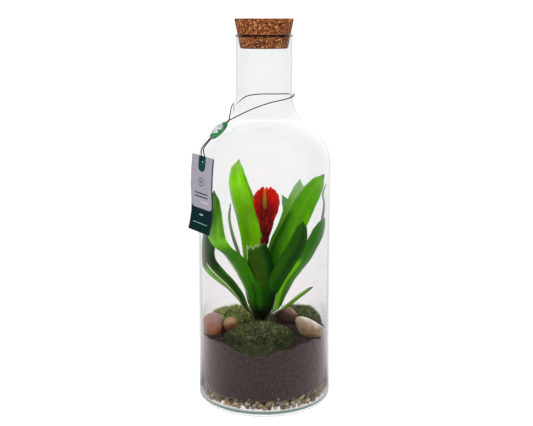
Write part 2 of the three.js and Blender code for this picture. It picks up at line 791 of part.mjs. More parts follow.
// [part of the height from the top, distance of the card's middle from the bottle's axis]
const TAG_BOW = [
  [0, 83.3],
  [0.2, 84.1],
  [0.4, 84],
  [0.6, 82.4],
  [0.72, 81.6],
  [0.86, 82.6],
  [1, 85.4],
];
const tagFace = new THREE.Vector3(1, 0, 0).applyAxisAngle(UP, THREE.MathUtils.degToRad(TAG_AZIMUTH));
const tagLevel = UP.clone().cross(tagFace); // level, to the right as the tag is read
const tagRoll = THREE.MathUtils.degToRad(-TAG_ROLL);
const tagDown = UP.clone().negate().applyAxisAngle(tagFace, tagRoll);
const tagAcross = tagLevel.clone().applyAxisAngle(tagFace, tagRoll);

// A point of the tag: sideways from its middle line, down from its top edge, out from its middle sheet
function tagPoint(across, down, out) {
  return UP.clone().multiplyScalar(TAG_TOP_Z)
    .addScaledVector(tagLevel, TAG_SIDE)
    .addScaledVector(tagAcross, across)
    .addScaledVector(tagDown, down)
    .addScaledVector(tagFace, keyed(TAG_BOW, down / TAG_HEIGHT) + out);
}

function tagSolid() {
  const rows = 12;
  const grid = (out) =>
    Array.from({ length: rows + 1 }, (_, i) =>
      [-0.5, 0.5].map((s) => tagPoint(s * TAG_WIDTH, TAG_HEIGHT * (1 - i / rows), out)),
    );
  const punch = new THREE.CylinderGeometry(TAG_HOLE_RADIUS, TAG_HOLE_RADIUS, 6, 16);
  punch.applyQuaternion(new THREE.Quaternion().setFromUnitVectors(new THREE.Vector3(0, 1, 0), tagFace));
  const hole = tagPoint(0, TAG_HOLE_DEPTH, 0);
  punch.translate(hole.x, hole.y, hole.z);
  return solidFrom(slab(grid(TAG_THICKNESS / 2), grid(-TAG_THICKNESS / 2))).subtract(solidFrom(punch));
}
addPiece("hang_tag", trimmed(tagSolid()), tagCard);

// Bead: an oval plastic seal that grips both loops of the cord, lying on the bottle's shoulder
const BEAD_AT = new THREE.Vector3(-51.3, -43.4, 333.4);
const BEAD_AXIS = new THREE.Vector3(16.7, 8, 15.9).normalize();
const BEAD_HALF = [6, 4.6, 12]; // across, thick, long
const BEAD_BLUNT = 0.86; // how far along the oval its ends are cut flat

function beadProfile() {
  const steps = 8;
  const side = Array.from({ length: steps + 1 }, (_, i) => {
    const along = BEAD_BLUNT * ((2 * i) / steps - 1);
    return rz(Math.sqrt(1 - along * along), along / BEAD_BLUNT);
  });
  return [rz(0, -1), ...side, rz(0, 1)];
}
const BEAD_TILT = 1.2; // its broad face looks up by this much for each part that it looks out
const beadOut = new THREE.Vector3(BEAD_AT.x, BEAD_AT.y, 0).normalize().addScaledVector(UP, BEAD_TILT);
const beadThick = beadOut.addScaledVector(BEAD_AXIS, -beadOut.dot(BEAD_AXIS)).normalize();
const beadTurn = new THREE.Matrix4().makeBasis(beadThick.clone().cross(BEAD_AXIS), beadThick, BEAD_AXIS);
const bead = turned(beadProfile(), 16).scale(...BEAD_HALF).applyMatrix4(beadTurn);
addPiece("cord_bead", bead.translate(BEAD_AT.x, BEAD_AT.y, BEAD_AT.z), sealPlastic);

// Cord: black elastic. One loop goes round the neck of the bottle, the other through the tag's hole.
const CORD_SPREAD = 1.3; // between the two strands where they enter the bead, to each side
// [azimuth, height] of the stretch that lies on the glass
const NECK_STRETCH = [
  [180, 358.1],
  [155, 361.5],
  [128, 367],
  [100, 368.6],
  [70, 368.9],
  [40, 369.8],
  [8, 370.6],
  [338, 368.8],
  [308, 366.8],
  [280, 363.8],
  [254, 358.2],
  [241, 354.3],
];

// Where a strand leaves the bead's upper or lower end, and a point straight out from there
function beadEnd(end, side, out = 0) {
  const offset = new THREE.Vector3(side * CORD_SPREAD, 0, end * (BEAD_HALF[2] + GAP + out));
  return offset.applyMatrix4(beadTurn).add(BEAD_AT);
}

function onGlass([azimuth, z]) {
  const angle = THREE.MathUtils.degToRad(azimuth);
  const radius = glassRadius(z) + CORD_RADIUS + 2 * GAP;
  return new THREE.Vector3(radius * Math.cos(angle), radius * Math.sin(angle), z);
}

function cordTube(points, steps) {
  return rod(points.map((p) => p.toArray()), CORD_RADIUS, 8, steps);
}
const STRAIGHT = 2; // length over which a strand leaves the bead straight
const neckLoop = [
  beadEnd(1, -1),
  beadEnd(1, -1, STRAIGHT),
  ...NECK_STRETCH.map(onGlass),
  beadEnd(1, 1, STRAIGHT),
  beadEnd(1, 1),
];
addPiece("cord_neck_loop", cordTube(neckLoop, 60), cordElastic);

// The tag's loop turns through the hole in a small bow.
const BOW_RADIUS = 2.6;
const holeLow = TAG_HOLE_DEPTH + 0.9;
const tagLoop = [
  beadEnd(-1, 1),
  beadEnd(-1, 1, STRAIGHT),
  tagPoint(0.9, -8, 3.4),
  tagPoint(0.5, 1, BOW_RADIUS),
  tagPoint(0.2, holeLow - BOW_RADIUS, BOW_RADIUS),
  tagPoint(0, holeLow, 0),
  tagPoint(-0.2, holeLow - BOW_RADIUS, -BOW_RADIUS),
  tagPoint(-0.5, 1, -BOW_RADIUS),
  tagPoint(-0.9, -8, -1),
  beadEnd(-1, -1, STRAIGHT),
  beadEnd(-1, -1),
];
addPiece("cord_tag_loop", cordTube(tagLoop, 38), cordElastic);

export default model;
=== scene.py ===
"""Looks of a bromeliad planted in a corked glass bottle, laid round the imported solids.

Metres, +Z up. The origin is the middle of the bottle's flat base, and the front of the planting faces -Y.
"""
import math
import random

import bpy
import numpy as np
from mathutils import Matrix, Vector, noise


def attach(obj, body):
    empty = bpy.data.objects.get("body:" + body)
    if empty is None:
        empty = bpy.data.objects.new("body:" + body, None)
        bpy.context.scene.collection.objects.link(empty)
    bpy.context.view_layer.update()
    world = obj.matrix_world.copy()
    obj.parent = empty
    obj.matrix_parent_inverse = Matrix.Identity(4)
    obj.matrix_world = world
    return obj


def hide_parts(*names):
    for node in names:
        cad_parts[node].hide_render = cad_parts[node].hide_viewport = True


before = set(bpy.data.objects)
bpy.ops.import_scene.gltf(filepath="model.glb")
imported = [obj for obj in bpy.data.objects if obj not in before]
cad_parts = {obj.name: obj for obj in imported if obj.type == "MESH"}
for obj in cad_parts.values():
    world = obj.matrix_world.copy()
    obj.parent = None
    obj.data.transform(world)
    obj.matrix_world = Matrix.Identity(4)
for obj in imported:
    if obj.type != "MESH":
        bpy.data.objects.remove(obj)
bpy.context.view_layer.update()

# Bottle: one blown piece of clear glass with a round shoulder. A dark ring is tinted on its mouth as a
# painted reflection of the rim, and its foot shows green where the eye looks along the glass, with a painted
# glow.
GLASS_TOP = 0.44
BODY_RADIUS, BODY_WALL = 0.08, 0.0032
NECK_RADIUS, NECK_WALL = 0.034, 0.0027
FLOOR_TOP = 0.007
BASE_CORNER, INNER_CORNER = 0.009, 0.004
NECK_FOOT, BODY_TOP = 0.372, 0.292
SWEEP = 2 * math.atan2(BODY_RADIUS - NECK_RADIUS, NECK_FOOT - BODY_TOP)
NECK_SHARE = 0.475  # part of the shoulder's drop that the arc under the neck takes
NECK_ARC = NECK_SHARE * (NECK_FOOT - BODY_TOP) / math.sin(SWEEP)
BODY_ARC = (1 - NECK_SHARE) * (NECK_FOOT - BODY_TOP) / math.sin(SWEEP)
INNER_RADIUS = BODY_RADIUS - BODY_WALL
STRAIGHT_TOP = GLASS_TOP - 0.004  # end of the straight neck, under the lip
DARK_RIM_RING = 0.0016  # height of the ring at the mouth that is tinted dark, a painted reflection of the rim
FOOT_EDGE, FOOT_EDGE_RADIUS = 0.0022, 0.0725  # the green edge lies below the one and outside the other
# the green of the foot, and the strength of the painted glow that the foot gives off
FOOT_GREEN, PAINTED_FOOT_GLOW = "9ed2be", 0.3
GLASS_TINTS = [(0.1, "f6f2f4"), (0.2, "fbfafb"), (0.28, "fcfcfc"), (0.45, "fcfdfd")]  # by height


def arc(centre_r, centre_z, radius, start, end, steps):
    """Points of a profile, radius and height, on an arc between two angles in degrees."""
    angles = [math.radians(start + (end - start) * i / steps) for i in range(steps + 1)]
    return [(centre_r + radius * math.cos(a), centre_z + radius * math.sin(a)) for a in angles]


def bottle_profile():
    """Outside from the middle of the base to the lip, then inside down to the middle of the floor."""
    sweep = math.degrees(SWEEP)
    neck_inner = NECK_RADIUS - NECK_WALL
    lip = NECK_WALL / 2
    neck_arc_in = NECK_ARC + NECK_WALL
    body_arc_in = BODY_ARC - BODY_WALL
    return [
        (0, 0),
        *arc(BODY_RADIUS - BASE_CORNER, BASE_CORNER, BASE_CORNER, -90, 0, 12),
        *arc(BODY_RADIUS - BODY_ARC, BODY_TOP, BODY_ARC, 0, sweep, 22),
        *arc(NECK_RADIUS + NECK_ARC, NECK_FOOT, NECK_ARC, 180 + sweep, 180, 20)[1:],
        (NECK_RADIUS, STRAIGHT_TOP),
        *arc(NECK_RADIUS - lip, GLASS_TOP - lip, lip, 0, 180, 10),
        (neck_inner, STRAIGHT_TOP),
        *arc(neck_inner + neck_arc_in, NECK_FOOT, neck_arc_in, 180, 180 + sweep, 20),
        *arc(INNER_RADIUS - body_arc_in, BODY_TOP, body_arc_in, sweep, 0, 20)[1:],
        *arc(INNER_RADIUS - INNER_CORNER, FLOOR_TOP + INNER_CORNER, INNER_CORNER, 0, -90, 6),
        (0, FLOOR_TOP),
    ]


def primitive(add, **settings):
    """Adds one of Blender's primitives with nothing else selected."""
    bpy.ops.object.select_all(action="DESELECT")
    add(**settings)
    return bpy.context.object


def faces_out(merge=0.0):
    """Merges the doubles of the mesh in hand and turns its faces outwards."""
    bpy.ops.object.mode_set(mode="EDIT")
    bpy.ops.mesh.select_all(action="SELECT")
    if merge:
        bpy.ops.mesh.remove_doubles(threshold=merge)
    bpy.ops.mesh.normals_make_consistent(inside=False)
    bpy.ops.object.mode_set(mode="OBJECT")


def turned(profile, steps):
    """A lathe: a ring of points is laid on the profile, opened on the axis and spun about it."""
    piece = primitive(bpy.ops.mesh.primitive_circle_add, vertices=len(profile), radius=1)
    for point, (radius, height) in zip(piece.data.vertices, profile):
        point.co = (radius, 0, height)
    bpy.ops.object.mode_set(mode="EDIT")
    bpy.ops.mesh.select_mode(type="EDGE")
    bpy.ops.mesh.select_all(action="DESELECT")
    bpy.ops.object.mode_set(mode="OBJECT")
    for edge in piece.data.edges:
        edge.select = set(edge.vertices) == {0, len(profile) - 1}
    bpy.ops.object.mode_set(mode="EDIT")
    bpy.ops.mesh.delete(type="EDGE")
    bpy.ops.mesh.select_mode(type="VERT")
    bpy.ops.mesh.select_all(action="SELECT")
    bpy.ops.mesh.spin(steps=steps, angle=2 * math.pi, center=(0, 0, 0), axis=(0, 0, 1))
    faces_out(merge=1e-6)
    bpy.ops.object.shade_smooth()
    return piece


def hue(code):
    """Linear colour of a six-digit screen colour."""
    parts = [int(code[i : i + 2], 16) / 255 for i in (0, 2, 4)]
    return tuple(p / 12.92 if p <= 0.04045 else ((p + 0.055) / 1.055) ** 2.4 for p in parts)


def opaque(colour):
    """Four numbers of a colour, given as a screen colour or as three linear numbers."""
    return (*(hue(colour) if isinstance(colour, str) else colour), 1)


def tone_layer(mesh):
    """A colour for each point of a mesh, which the materials read."""
    return mesh.color_attributes.new("tone", "FLOAT_COLOR", "POINT").data


def painted(piece, tone_at):
    """Colours each point of a piece by its place."""
    for point, spot in zip(piece.data.vertices, tone_layer(piece.data)):
        spot.color = (*tone_at(point.co), 1)


def new_finish(name, **sockets):
    """A material with values on its shader's own sockets."""
    material = bpy.data.materials.new(name)
    material.use_nodes = True
    shader = material.node_tree.nodes["Principled BSDF"]
    for socket, value in sockets.items():
        shader.inputs[socket.replace("_", " ")].default_value = value
    return material


def wire(material, kind, sockets, **settings):
    """Adds a node. A socket gets a value, or is joined to another node's output."""
    made = material.node_tree.nodes.new("ShaderNode" + kind)
    for key, value in settings.items():
        setattr(made, key, value)
    for socket, value in sockets.items():
        if isinstance(value, bpy.types.NodeSocket):
            material.node_tree.links.new(value, made.inputs[socket])
        else:
            made.inputs[socket].default_value = value
    return made


def sums(material, how, *values):
    """Arithmetic on numbers, point by point."""
    return wire(material, "Math", dict(enumerate(values)), operation=how).outputs[0]


def feed(material, socket, output):
    """Joins an output to one of the shader's own sockets."""
    shader = material.node_tree.nodes["Principled BSDF"]
    material.node_tree.links.new(output, shader.inputs[socket])


def tone_of(material):
    """The colour painted on the mesh."""
    return wire(material, "Attribute", {}, attribute_name="tone").outputs["Color"]


def own_place(material):
    """The place on the piece."""
    return wire(material, "TexCoord", {}).outputs["Object"]


def coat(piece, finish):
    piece.data.materials.clear()
    piece.data.materials.append(finish)


def dress(piece, name, finish, slot, *nodes):
    """Names a finished piece, gives it its material, and fits it into the frame."""
    piece.name = name
    piece.data.name = name
    coat(piece, finish)
    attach(piece, "root")
    if nodes:
        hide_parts(*nodes)


def glass_tint(point):
    """Tint of the glass at a point of the bottle."""
    # painted reflection: the ring at the mouth is tinted dark
    if point.z > GLASS_TOP - DARK_RIM_RING:
        return hue("2a2f38")
    if point.z < FOOT_EDGE and math.hypot(point.x, point.y) > FOOT_EDGE_RADIUS:
        return hue(FOOT_GREEN)
    heights = [height for height, code in GLASS_TINTS]
    return [np.interp(point.z, heights, part) for part in zip(*(hue(code) for height, code in GLASS_TINTS))]


bottle = turned(bottle_profile(), 144)
painted(bottle, glass_tint)
clear_glass = new_finish(
    "clear blown glass", Roughness=0.0, IOR=1.45, Transmission_Weight=1.0, Sheen_Weight=0.3,
    Sheen_Roughness=0.3, Emission_Color=opaque(FOOT_GREEN),
)
feed(clear_glass, "Base Color", tone_of(clear_glass))
# painted glow: the glass gives off green light everywhere below the foot's edge height
height = wire(clear_glass, "SeparateXYZ", {"Vector": own_place(clear_glass)}).outputs["Z"]
painted_glow_zone = sums(clear_glass, "LESS_THAN", height, FOOT_EDGE)
feed(clear_glass, "Emission Strength", sums(clear_glass, "MULTIPLY", painted_glow_zone, PAINTED_FOOT_GLOW))
bottle.visible_shadow = False
bottle.visible_diffuse = False
bottle.visible_glossy = False
dress(bottle, "glass_bottle", clear_glass, "clear_glass", "bottle")

# Gravel: a drainage layer of washed river gravel, six to eight millimetres across, poured on the glass
# floor. It climbs a little at the right, where the soil has mixed with it.
FIT_RADIUS = 0.0765  # what is pressed against the glass
CLEAR = 0.0003  # between pieces that touch
GRAVEL_TONES = ["a3926f", "8d7f62", "b5a684", "6f6350", "9a9484", "7d6a4c", "c2b696", "5a5044"]
# radius of a ring of stones, its height, and how many it has
GRAVEL_RINGS = [
    (0.0727, 0.0108, 64), (0.0730, 0.0152, 62), (0.0735, 0.0192, 46),
    (0.0665, 0.0115, 56), (0.0670, 0.0165, 54), (0.0605, 0.0150, 44),
]
GRAVEL_TOP = 0.020
SMALL_STONES, SMALL_AT_RIGHT = 60, 44
# profile of the dark core that fills the layer's middle, painted shade between the stones
GRAVEL_SHADE_CORE = [(0, 0.0075), (0.062, 0.0075), (0.0635, 0.010), (0.0635, 0.019), (0, GRAVEL_TOP)]


def keep_inside(point, reach=FIT_RADIUS):
    """The nearest point inside the bottle's room, with its rounded lower corner."""
    radius = math.hypot(point.x, point.y)
    floor = FLOOR_TOP + CLEAR
    turn_r, turn_z = reach - INNER_CORNER, floor + INNER_CORNER
    new_radius, z = min(radius, reach), max(point.z, floor)
    if new_radius > turn_r and z < turn_z:
        out, down = new_radius - turn_r, turn_z - z
        past = math.hypot(out, down) / INNER_CORNER
        if past > 1:
            new_radius, z = turn_r + out / past, turn_z - down / past
    shrink = new_radius / radius if radius > 1e-9 else 1
    return Vector((point.x * shrink, point.y * shrink, z))


def mix(a, b, part):
    """Between two numbers or two colours."""
    if isinstance(a, tuple):
        return tuple(x + (y - x) * part for x, y in zip(a, b))
    return a + (b - a) * part


def round_axis(radius, angle, z):
    """A place by its distance from the bottle's axis, its angle about it and its height."""
    return Vector((radius * math.cos(angle), radius * math.sin(angle), z))


def rough_stone(seed, detail, rough):
    """A round stone of unit size with flats and dents."""
    stone = primitive(bpy.ops.mesh.primitive_ico_sphere_add, subdivisions=detail, radius=1)
    drift = Vector((seed * 7.3, seed * 3.1, seed * 5.7))
    for point in stone.data.vertices:
        swell = noise.noise(point.co * 0.9 + drift) * 1.3 + noise.noise(point.co * 2.1 + drift) * 0.5
        point.co *= 1 + rough * swell
    return stone


def shape_arrays(shape):
    """Points and faces of a finished shape, which is then cleared away."""
    points = np.array([point.co for point in shape.data.vertices])
    faces = [tuple(face.vertices) for face in shape.data.polygons]
    bpy.data.objects.remove(shape)
    return points, faces


def set_in_scene(name, data):
    """A new object of the scene."""
    thing = bpy.data.objects.new(name, data)
    bpy.context.scene.collection.objects.link(thing)
    return thing


def stamped(name, copies):
    """One mesh of many copies. Each is a shape's points and faces, its place, and its points' colours."""
    points, faces, tones = [], [], []
    count = 0
    for (shape_points, shape_faces), place, colours in copies:
        spots = shape_points @ np.array(place.to_3x3()).T + np.array(place.translation)
        points.append(spots)
        faces += [tuple(count + i for i in face) for face in shape_faces]
        tones.append(np.broadcast_to(colours, (len(spots), 3)))
        count += len(spots)
    mesh = bpy.data.meshes.new(name)
    mesh.from_pydata(np.concatenate(points).tolist(), [], faces)
    colours = np.concatenate([np.concatenate(tones), np.ones((count, 1))], axis=1)
    tone_layer(mesh).foreach_set("color", colours.astype(np.float32).ravel())
    return set_in_scene(name, mesh)


def placed(at, size, turn):
    """Place of a copy: scaled, turned, moved."""
    return Matrix.LocRotScale(Vector(at), turn, Vector(size))


def any_way(draw):
    """A way in no chosen direction."""
    return Vector((draw.gauss(0, 1), draw.gauss(0, 1), draw.gauss(0, 1))).normalized()


def loose_turn(draw):
    axis = any_way(draw)
    return Matrix.Rotation(draw.uniform(0, 2 * math.pi), 3, axis).to_quaternion()


def pick_out(piece):
    """Selects one piece alone."""
    bpy.ops.object.select_all(action="DESELECT")
    piece.select_set(True)
    bpy.context.view_layer.objects.active = piece


def join_up(piece, *others):
    """Joins other pieces into one."""
    bpy.context.view_layer.update()
    pick_out(piece)
    for other in others:
        other.select_set(True)
    bpy.ops.object.join()


def grain(material, scale, detail=2.0, place=None, **sockets):
    """Noise through the piece, or along a place of its own."""
    place = own_place(material) if place is None else place
    sockets |= {"Vector": place, "Scale": scale, "Detail": detail}
    return wire(material, "TexNoise", sockets).outputs["Fac"]


def ramp(material, share, *stops):
    """A colour by a share, between stops of a share and a colour."""
    made = wire(material, "ValToRGB", {"Fac": share})
    elements = made.color_ramp.elements
    for i, end in ((0, stops[0]), (1, stops[-1])):
        elements[i].position, elements[i].color = end[0], opaque(end[1])
    for place, colour in stops[1:-1]:
        elements.new(place).color = opaque(colour)
    return made.outputs["Color"]


def shaded(material, under, share, *stops):
    """A colour multiplied by a ramp."""
    sockets = {0: 1.0, 6: under, 7: ramp(material, share, *stops)}
    return wire(material, "Mix", sockets, data_type="RGBA", blend_type="MULTIPLY").outputs[2]


def mottle(material, share, *stops):
    """Gives a material the colour painted on the mesh, multiplied by a ramp."""
    feed(material, "Base Color", shaded(material, tone_of(material), share, *stops))


def relief(material, height, strength, distance):
    """Raises the surface by a height."""
    bump = wire(material, "Bump", {"Height": height, "Strength": strength, "Distance": distance})
    feed(material, "Normal", bump.outputs["Normal"])


draw = random.Random(11)
stones = [shape_arrays(rough_stone(seed, 2, 0.22)) for seed in range(7)]
copies = []
for reach, height, count in GRAVEL_RINGS:
    for i in range(count):
        angle = (i + draw.uniform(-0.25, 0.25)) * 2 * math.pi / count
        size = draw.uniform(0.0030, 0.0042)
        far = min(reach + draw.uniform(-0.001, 0.001), FIT_RADIUS - 0.72 * size)
        at = round_axis(far, angle, height + draw.uniform(-0.001, 0.001))
        girth = (size, size * draw.uniform(0.7, 1), size * draw.uniform(0.6, 0.9))
        tone = mix((0, 0, 0), hue(draw.choice(GRAVEL_TONES)), draw.uniform(0.55, 1.05))
        copies.append((draw.choice(stones), placed(at, girth, loose_turn(draw)), tone))
for i in range(SMALL_STONES):
    at_right = i < SMALL_AT_RIGHT
    angle = math.radians(draw.uniform(-62, 30) if at_right else draw.uniform(-180, 180))
    size = draw.uniform(0.0016, 0.0027)
    climb = draw.uniform(0, 0.008 if at_right else 0.003)
    at = round_axis(FIT_RADIUS - 0.75 * size, angle, GRAVEL_TOP + climb)
    tone = mix((0, 0, 0), hue(draw.choice(GRAVEL_TONES)), draw.uniform(0.5, 0.9))
    copies.append((draw.choice(stones), placed(at, (size, size * 0.8, size * 0.8), loose_turn(draw)), tone))
gravel = stamped("gravel", copies)
for point in gravel.data.vertices:
    point.co = keep_inside(point.co)
# Painted shade: a dark core fills the middle of the layer and shows between the stones as their shaded
# depths.
heart = turned(GRAVEL_SHADE_CORE, 48)
painted(heart, lambda point: hue("2a231c"))
join_up(gravel, heart)
washed_stone = new_finish("washed river gravel", Roughness=0.75)
speckle = grain(washed_stone, 900, 4.0)
mottle(washed_stone, speckle, (0.35, (0.5, 0.47, 0.43)), (0.65, (1.25, 1.2, 1.1)))
relief(washed_stone, speckle, 0.5, 0.0004)
dress(gravel, "river_gravel", washed_stone, "gravel", "gravel_layer")

# Soil: moist peat and fine bark, tipped in over the gravel and pressed against the glass. Its top dips at
# the front and falls a little towards the back.
SOIL_LEVEL, SOIL_FOOT = 0.087, 0.0203
SOIL_RADIUS = 0.0762
SOIL_ROWS = 48
SILT_DEPTH = 0.0012  # pale silt lies this deep behind the glass
PLANT = Vector((-0.004, 0.004, 0))  # the rosette's axis


def smooth_step(x):
    t = min(max(x, 0), 1)
    return t * t * (3 - 2 * t)


def soil_height(x, y):
    """Height of the soil's top, from waves, a dip and a fall in millimetres."""
    x, y = 1000 * x, 1000 * y
    front_dip = 9 * math.exp(-(((x + 4) / 30) ** 2)) * smooth_step((-y - 45) / 28)
    back_fall = 9 * smooth_step((y - 5) / 50)
    waves = 1.6 * math.sin(x / 9 + 1) * math.cos(y / 11) + 0.9 * math.sin((x + y) / 5)
    return SOIL_LEVEL + 0.001 * (waves - front_dip - back_fall)


def laid_over(material, under, mask, colour):
    """A colour laid over another where the mask is 1."""
    return wire(material, "Mix", {0: mask, 6: under, 7: colour}, data_type="RGBA").outputs[2]


wall_rows = [(SOIL_RADIUS, mix(SOIL_FOOT, SOIL_LEVEL, i / SOIL_ROWS)) for i in range(SOIL_ROWS + 1)]
top_rows = [(SOIL_RADIUS * (1 - i / SOIL_ROWS), SOIL_LEVEL) for i in range(1, SOIL_ROWS + 1)]
soil = turned([(0, SOIL_FOOT), (0.04, SOIL_FOOT), *wall_rows, *top_rows], 220)
for point in soil.data.vertices:
    x, y, z = point.co
    if z < SOIL_FOOT + 1e-6:
        continue
    crumbs = noise.noise(point.co * 260) + 0.6 * noise.noise(point.co * 620)
    if math.hypot(x, y) > SOIL_RADIUS - 1e-5:
        part = (z - SOIL_FOOT) / (SOIL_LEVEL - SOIL_FOOT)
        inward = 1 - (0.0003 + 0.0005 * max(0, crumbs)) / SOIL_RADIUS
        point.co = (x * inward, y * inward, mix(SOIL_FOOT, soil_height(x, y), part))
    else:
        point.co.z = soil_height(x, y) + 0.0011 * crumbs
peat = new_finish("moist peat", Roughness=0.9, Sheen_Roughness=0.45, Sheen_Tint=opaque("f4e4e0"))
clods = grain(peat, 420, 5.0, Roughness=0.65)
earth = ramp(peat, clods, (0.3, "1c1413"), (0.5, "2e2322"), (0.72, "4a3b38"))
fibres = wire(peat, "TexVoronoi", {"Vector": own_place(peat), "Scale": 330})
fleck = ramp(peat, fibres.outputs["Distance"], (0.10, (1, 1, 1)), (0.2, (0, 0, 0)))
sparse = sums(peat, "GREATER_THAN", fibres.outputs["Color"], 0.78)
bark = laid_over(peat, earth, sums(peat, "MULTIPLY", fleck, sparse), opaque("8a4a32"))
feed(peat, "Base Color", bark)
relief(peat, clods, 0.8, 0.0008)
level_way = wire(peat, "VectorMath", {0: own_place(peat), 1: (1, 1, 0)}, operation="MULTIPLY").outputs[0]
reach = wire(peat, "VectorMath", {0: level_way}, operation="LENGTH").outputs["Value"]
feed(peat, "Sheen Weight", sums(peat, "GREATER_THAN", reach, SOIL_RADIUS - SILT_DEPTH))
dress(soil, "peat_soil", peat, "soil", "potting_soil")

# Crumbs: bits of bark and peat, a millimetre or two long, that fell at the planting. They lie loose on the
# soil and on the moss.
CRUMB_COUNT, CRUMB_REACH = 420, 0.074
draw = random.Random(23)
chips = [shape_arrays(rough_stone(seed + 20, 1, 0.4)) for seed in range(5)]
copies = []
while len(copies) < CRUMB_COUNT:
    x, y = draw.uniform(-CRUMB_REACH, CRUMB_REACH), draw.uniform(-CRUMB_REACH, CRUMB_REACH)
    if math.hypot(x, y) > CRUMB_REACH or math.hypot(x - PLANT.x, y - PLANT.y) < 0.018:
        continue
    size = draw.uniform(0.0006, 0.0018)
    tone = mix(hue("1c1310"), hue("5e4335"), draw.random() ** 2)
    girth = (size * draw.uniform(1, 1.9), size, size * 0.55)
    at = (x, y, soil_height(x, y) + 0.0004)
    copies.append((draw.choice(chips), placed(at, girth, loose_turn(draw)), tone))
crumb_bark = new_finish("bark crumbs", Roughness=0.85)
feed(crumb_bark, "Base Color", tone_of(crumb_bark))
relief(crumb_bark, grain(crumb_bark, 1500), 0.6, 0.0003)
dress(stamped("crumbs", copies), "bark_crumbs", crumb_bark, "soil")

# Crown: the rosette's short stem of tough plant fibre, rooted in the soil and wrapped by the leaves'
# sheaths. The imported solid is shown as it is, with this skin.


def stretched(material, scale, place=None):
    """A place drawn out along one way, for grain that runs with it."""
    place = own_place(material) if place is None else place
    return wire(material, "Mapping", {"Vector": place, "Scale": scale}).outputs[0]


crown_skin = new_finish("crown skin", Roughness=0.6)
fibre = grain(crown_skin, 1400, place=stretched(crown_skin, (1, 1, 0.12)))
feed(crown_skin, "Base Color", ramp(crown_skin, fibre, (0, "3c3e22"), (1, "7f8052")))
coat(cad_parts["crown_stem"], crown_skin)

# Leaves: soft strap leaves, each one blade that starts as a sheath round the crown. A leaf is a grid shaped
# along its middle line, channelled across, and given its thickness.
SHEATH_FOOT, SHEATH_HEIGHT, SHEATH_SPREAD = 0.082, 0.009, 0.0006
LEAF_THICKNESS = 0.00086
BLADE_BEND = 0.42  # radians from the middle line to the edge
LEAF_WAVE, LEAF_CREASE = 0.0005, 0.0004  # how far the edges wave, and how deep the middle lies
STEM_SKIN = 0.0068  # how near to the stem a sheath gets
HUG, HUG_TOP, HUG_FADE = 0.85, 0.112, 0.016  # the feet are drawn to the stem below this height
LEAF_REACH = 0.0755  # a blade stays this near to the bottle's axis
CROWN_SHADE_MIDDLE, CROWN_SHADE_RADIUS = Vector((-0.0042, -0.012, 0.1005)), 0.0175  # painted shade: the middle of the dark patch where the blades part, and how far it reaches
LEAF_COLUMNS, LEAF_ROWS, LEAF_STEPS = 22, 72, 400
# part of the length, and width there as a part of the widest
STRAP = [(0, 0.34), (0.12, 0.56), (0.35, 0.88), (0.6, 1), (0.78, 0.95), (0.87, 0.82), (0.94, 0.58), (1, 0.04)]
WIDE_FOOT_STRAP = [(0, 0.5), (0.12, 0.88), *STRAP[2:]]
CUT_STRAP = [(0, 0.16), (0.1, 0.3), (0.2, 0.55), (0.35, 0.78), (0.65, 1), (0.85, 0.94), (1, 0.68)]
BACK_TONES = [(0, "3b3f22"), (0.4, "2f6a12"), (1, "4a8a20")]
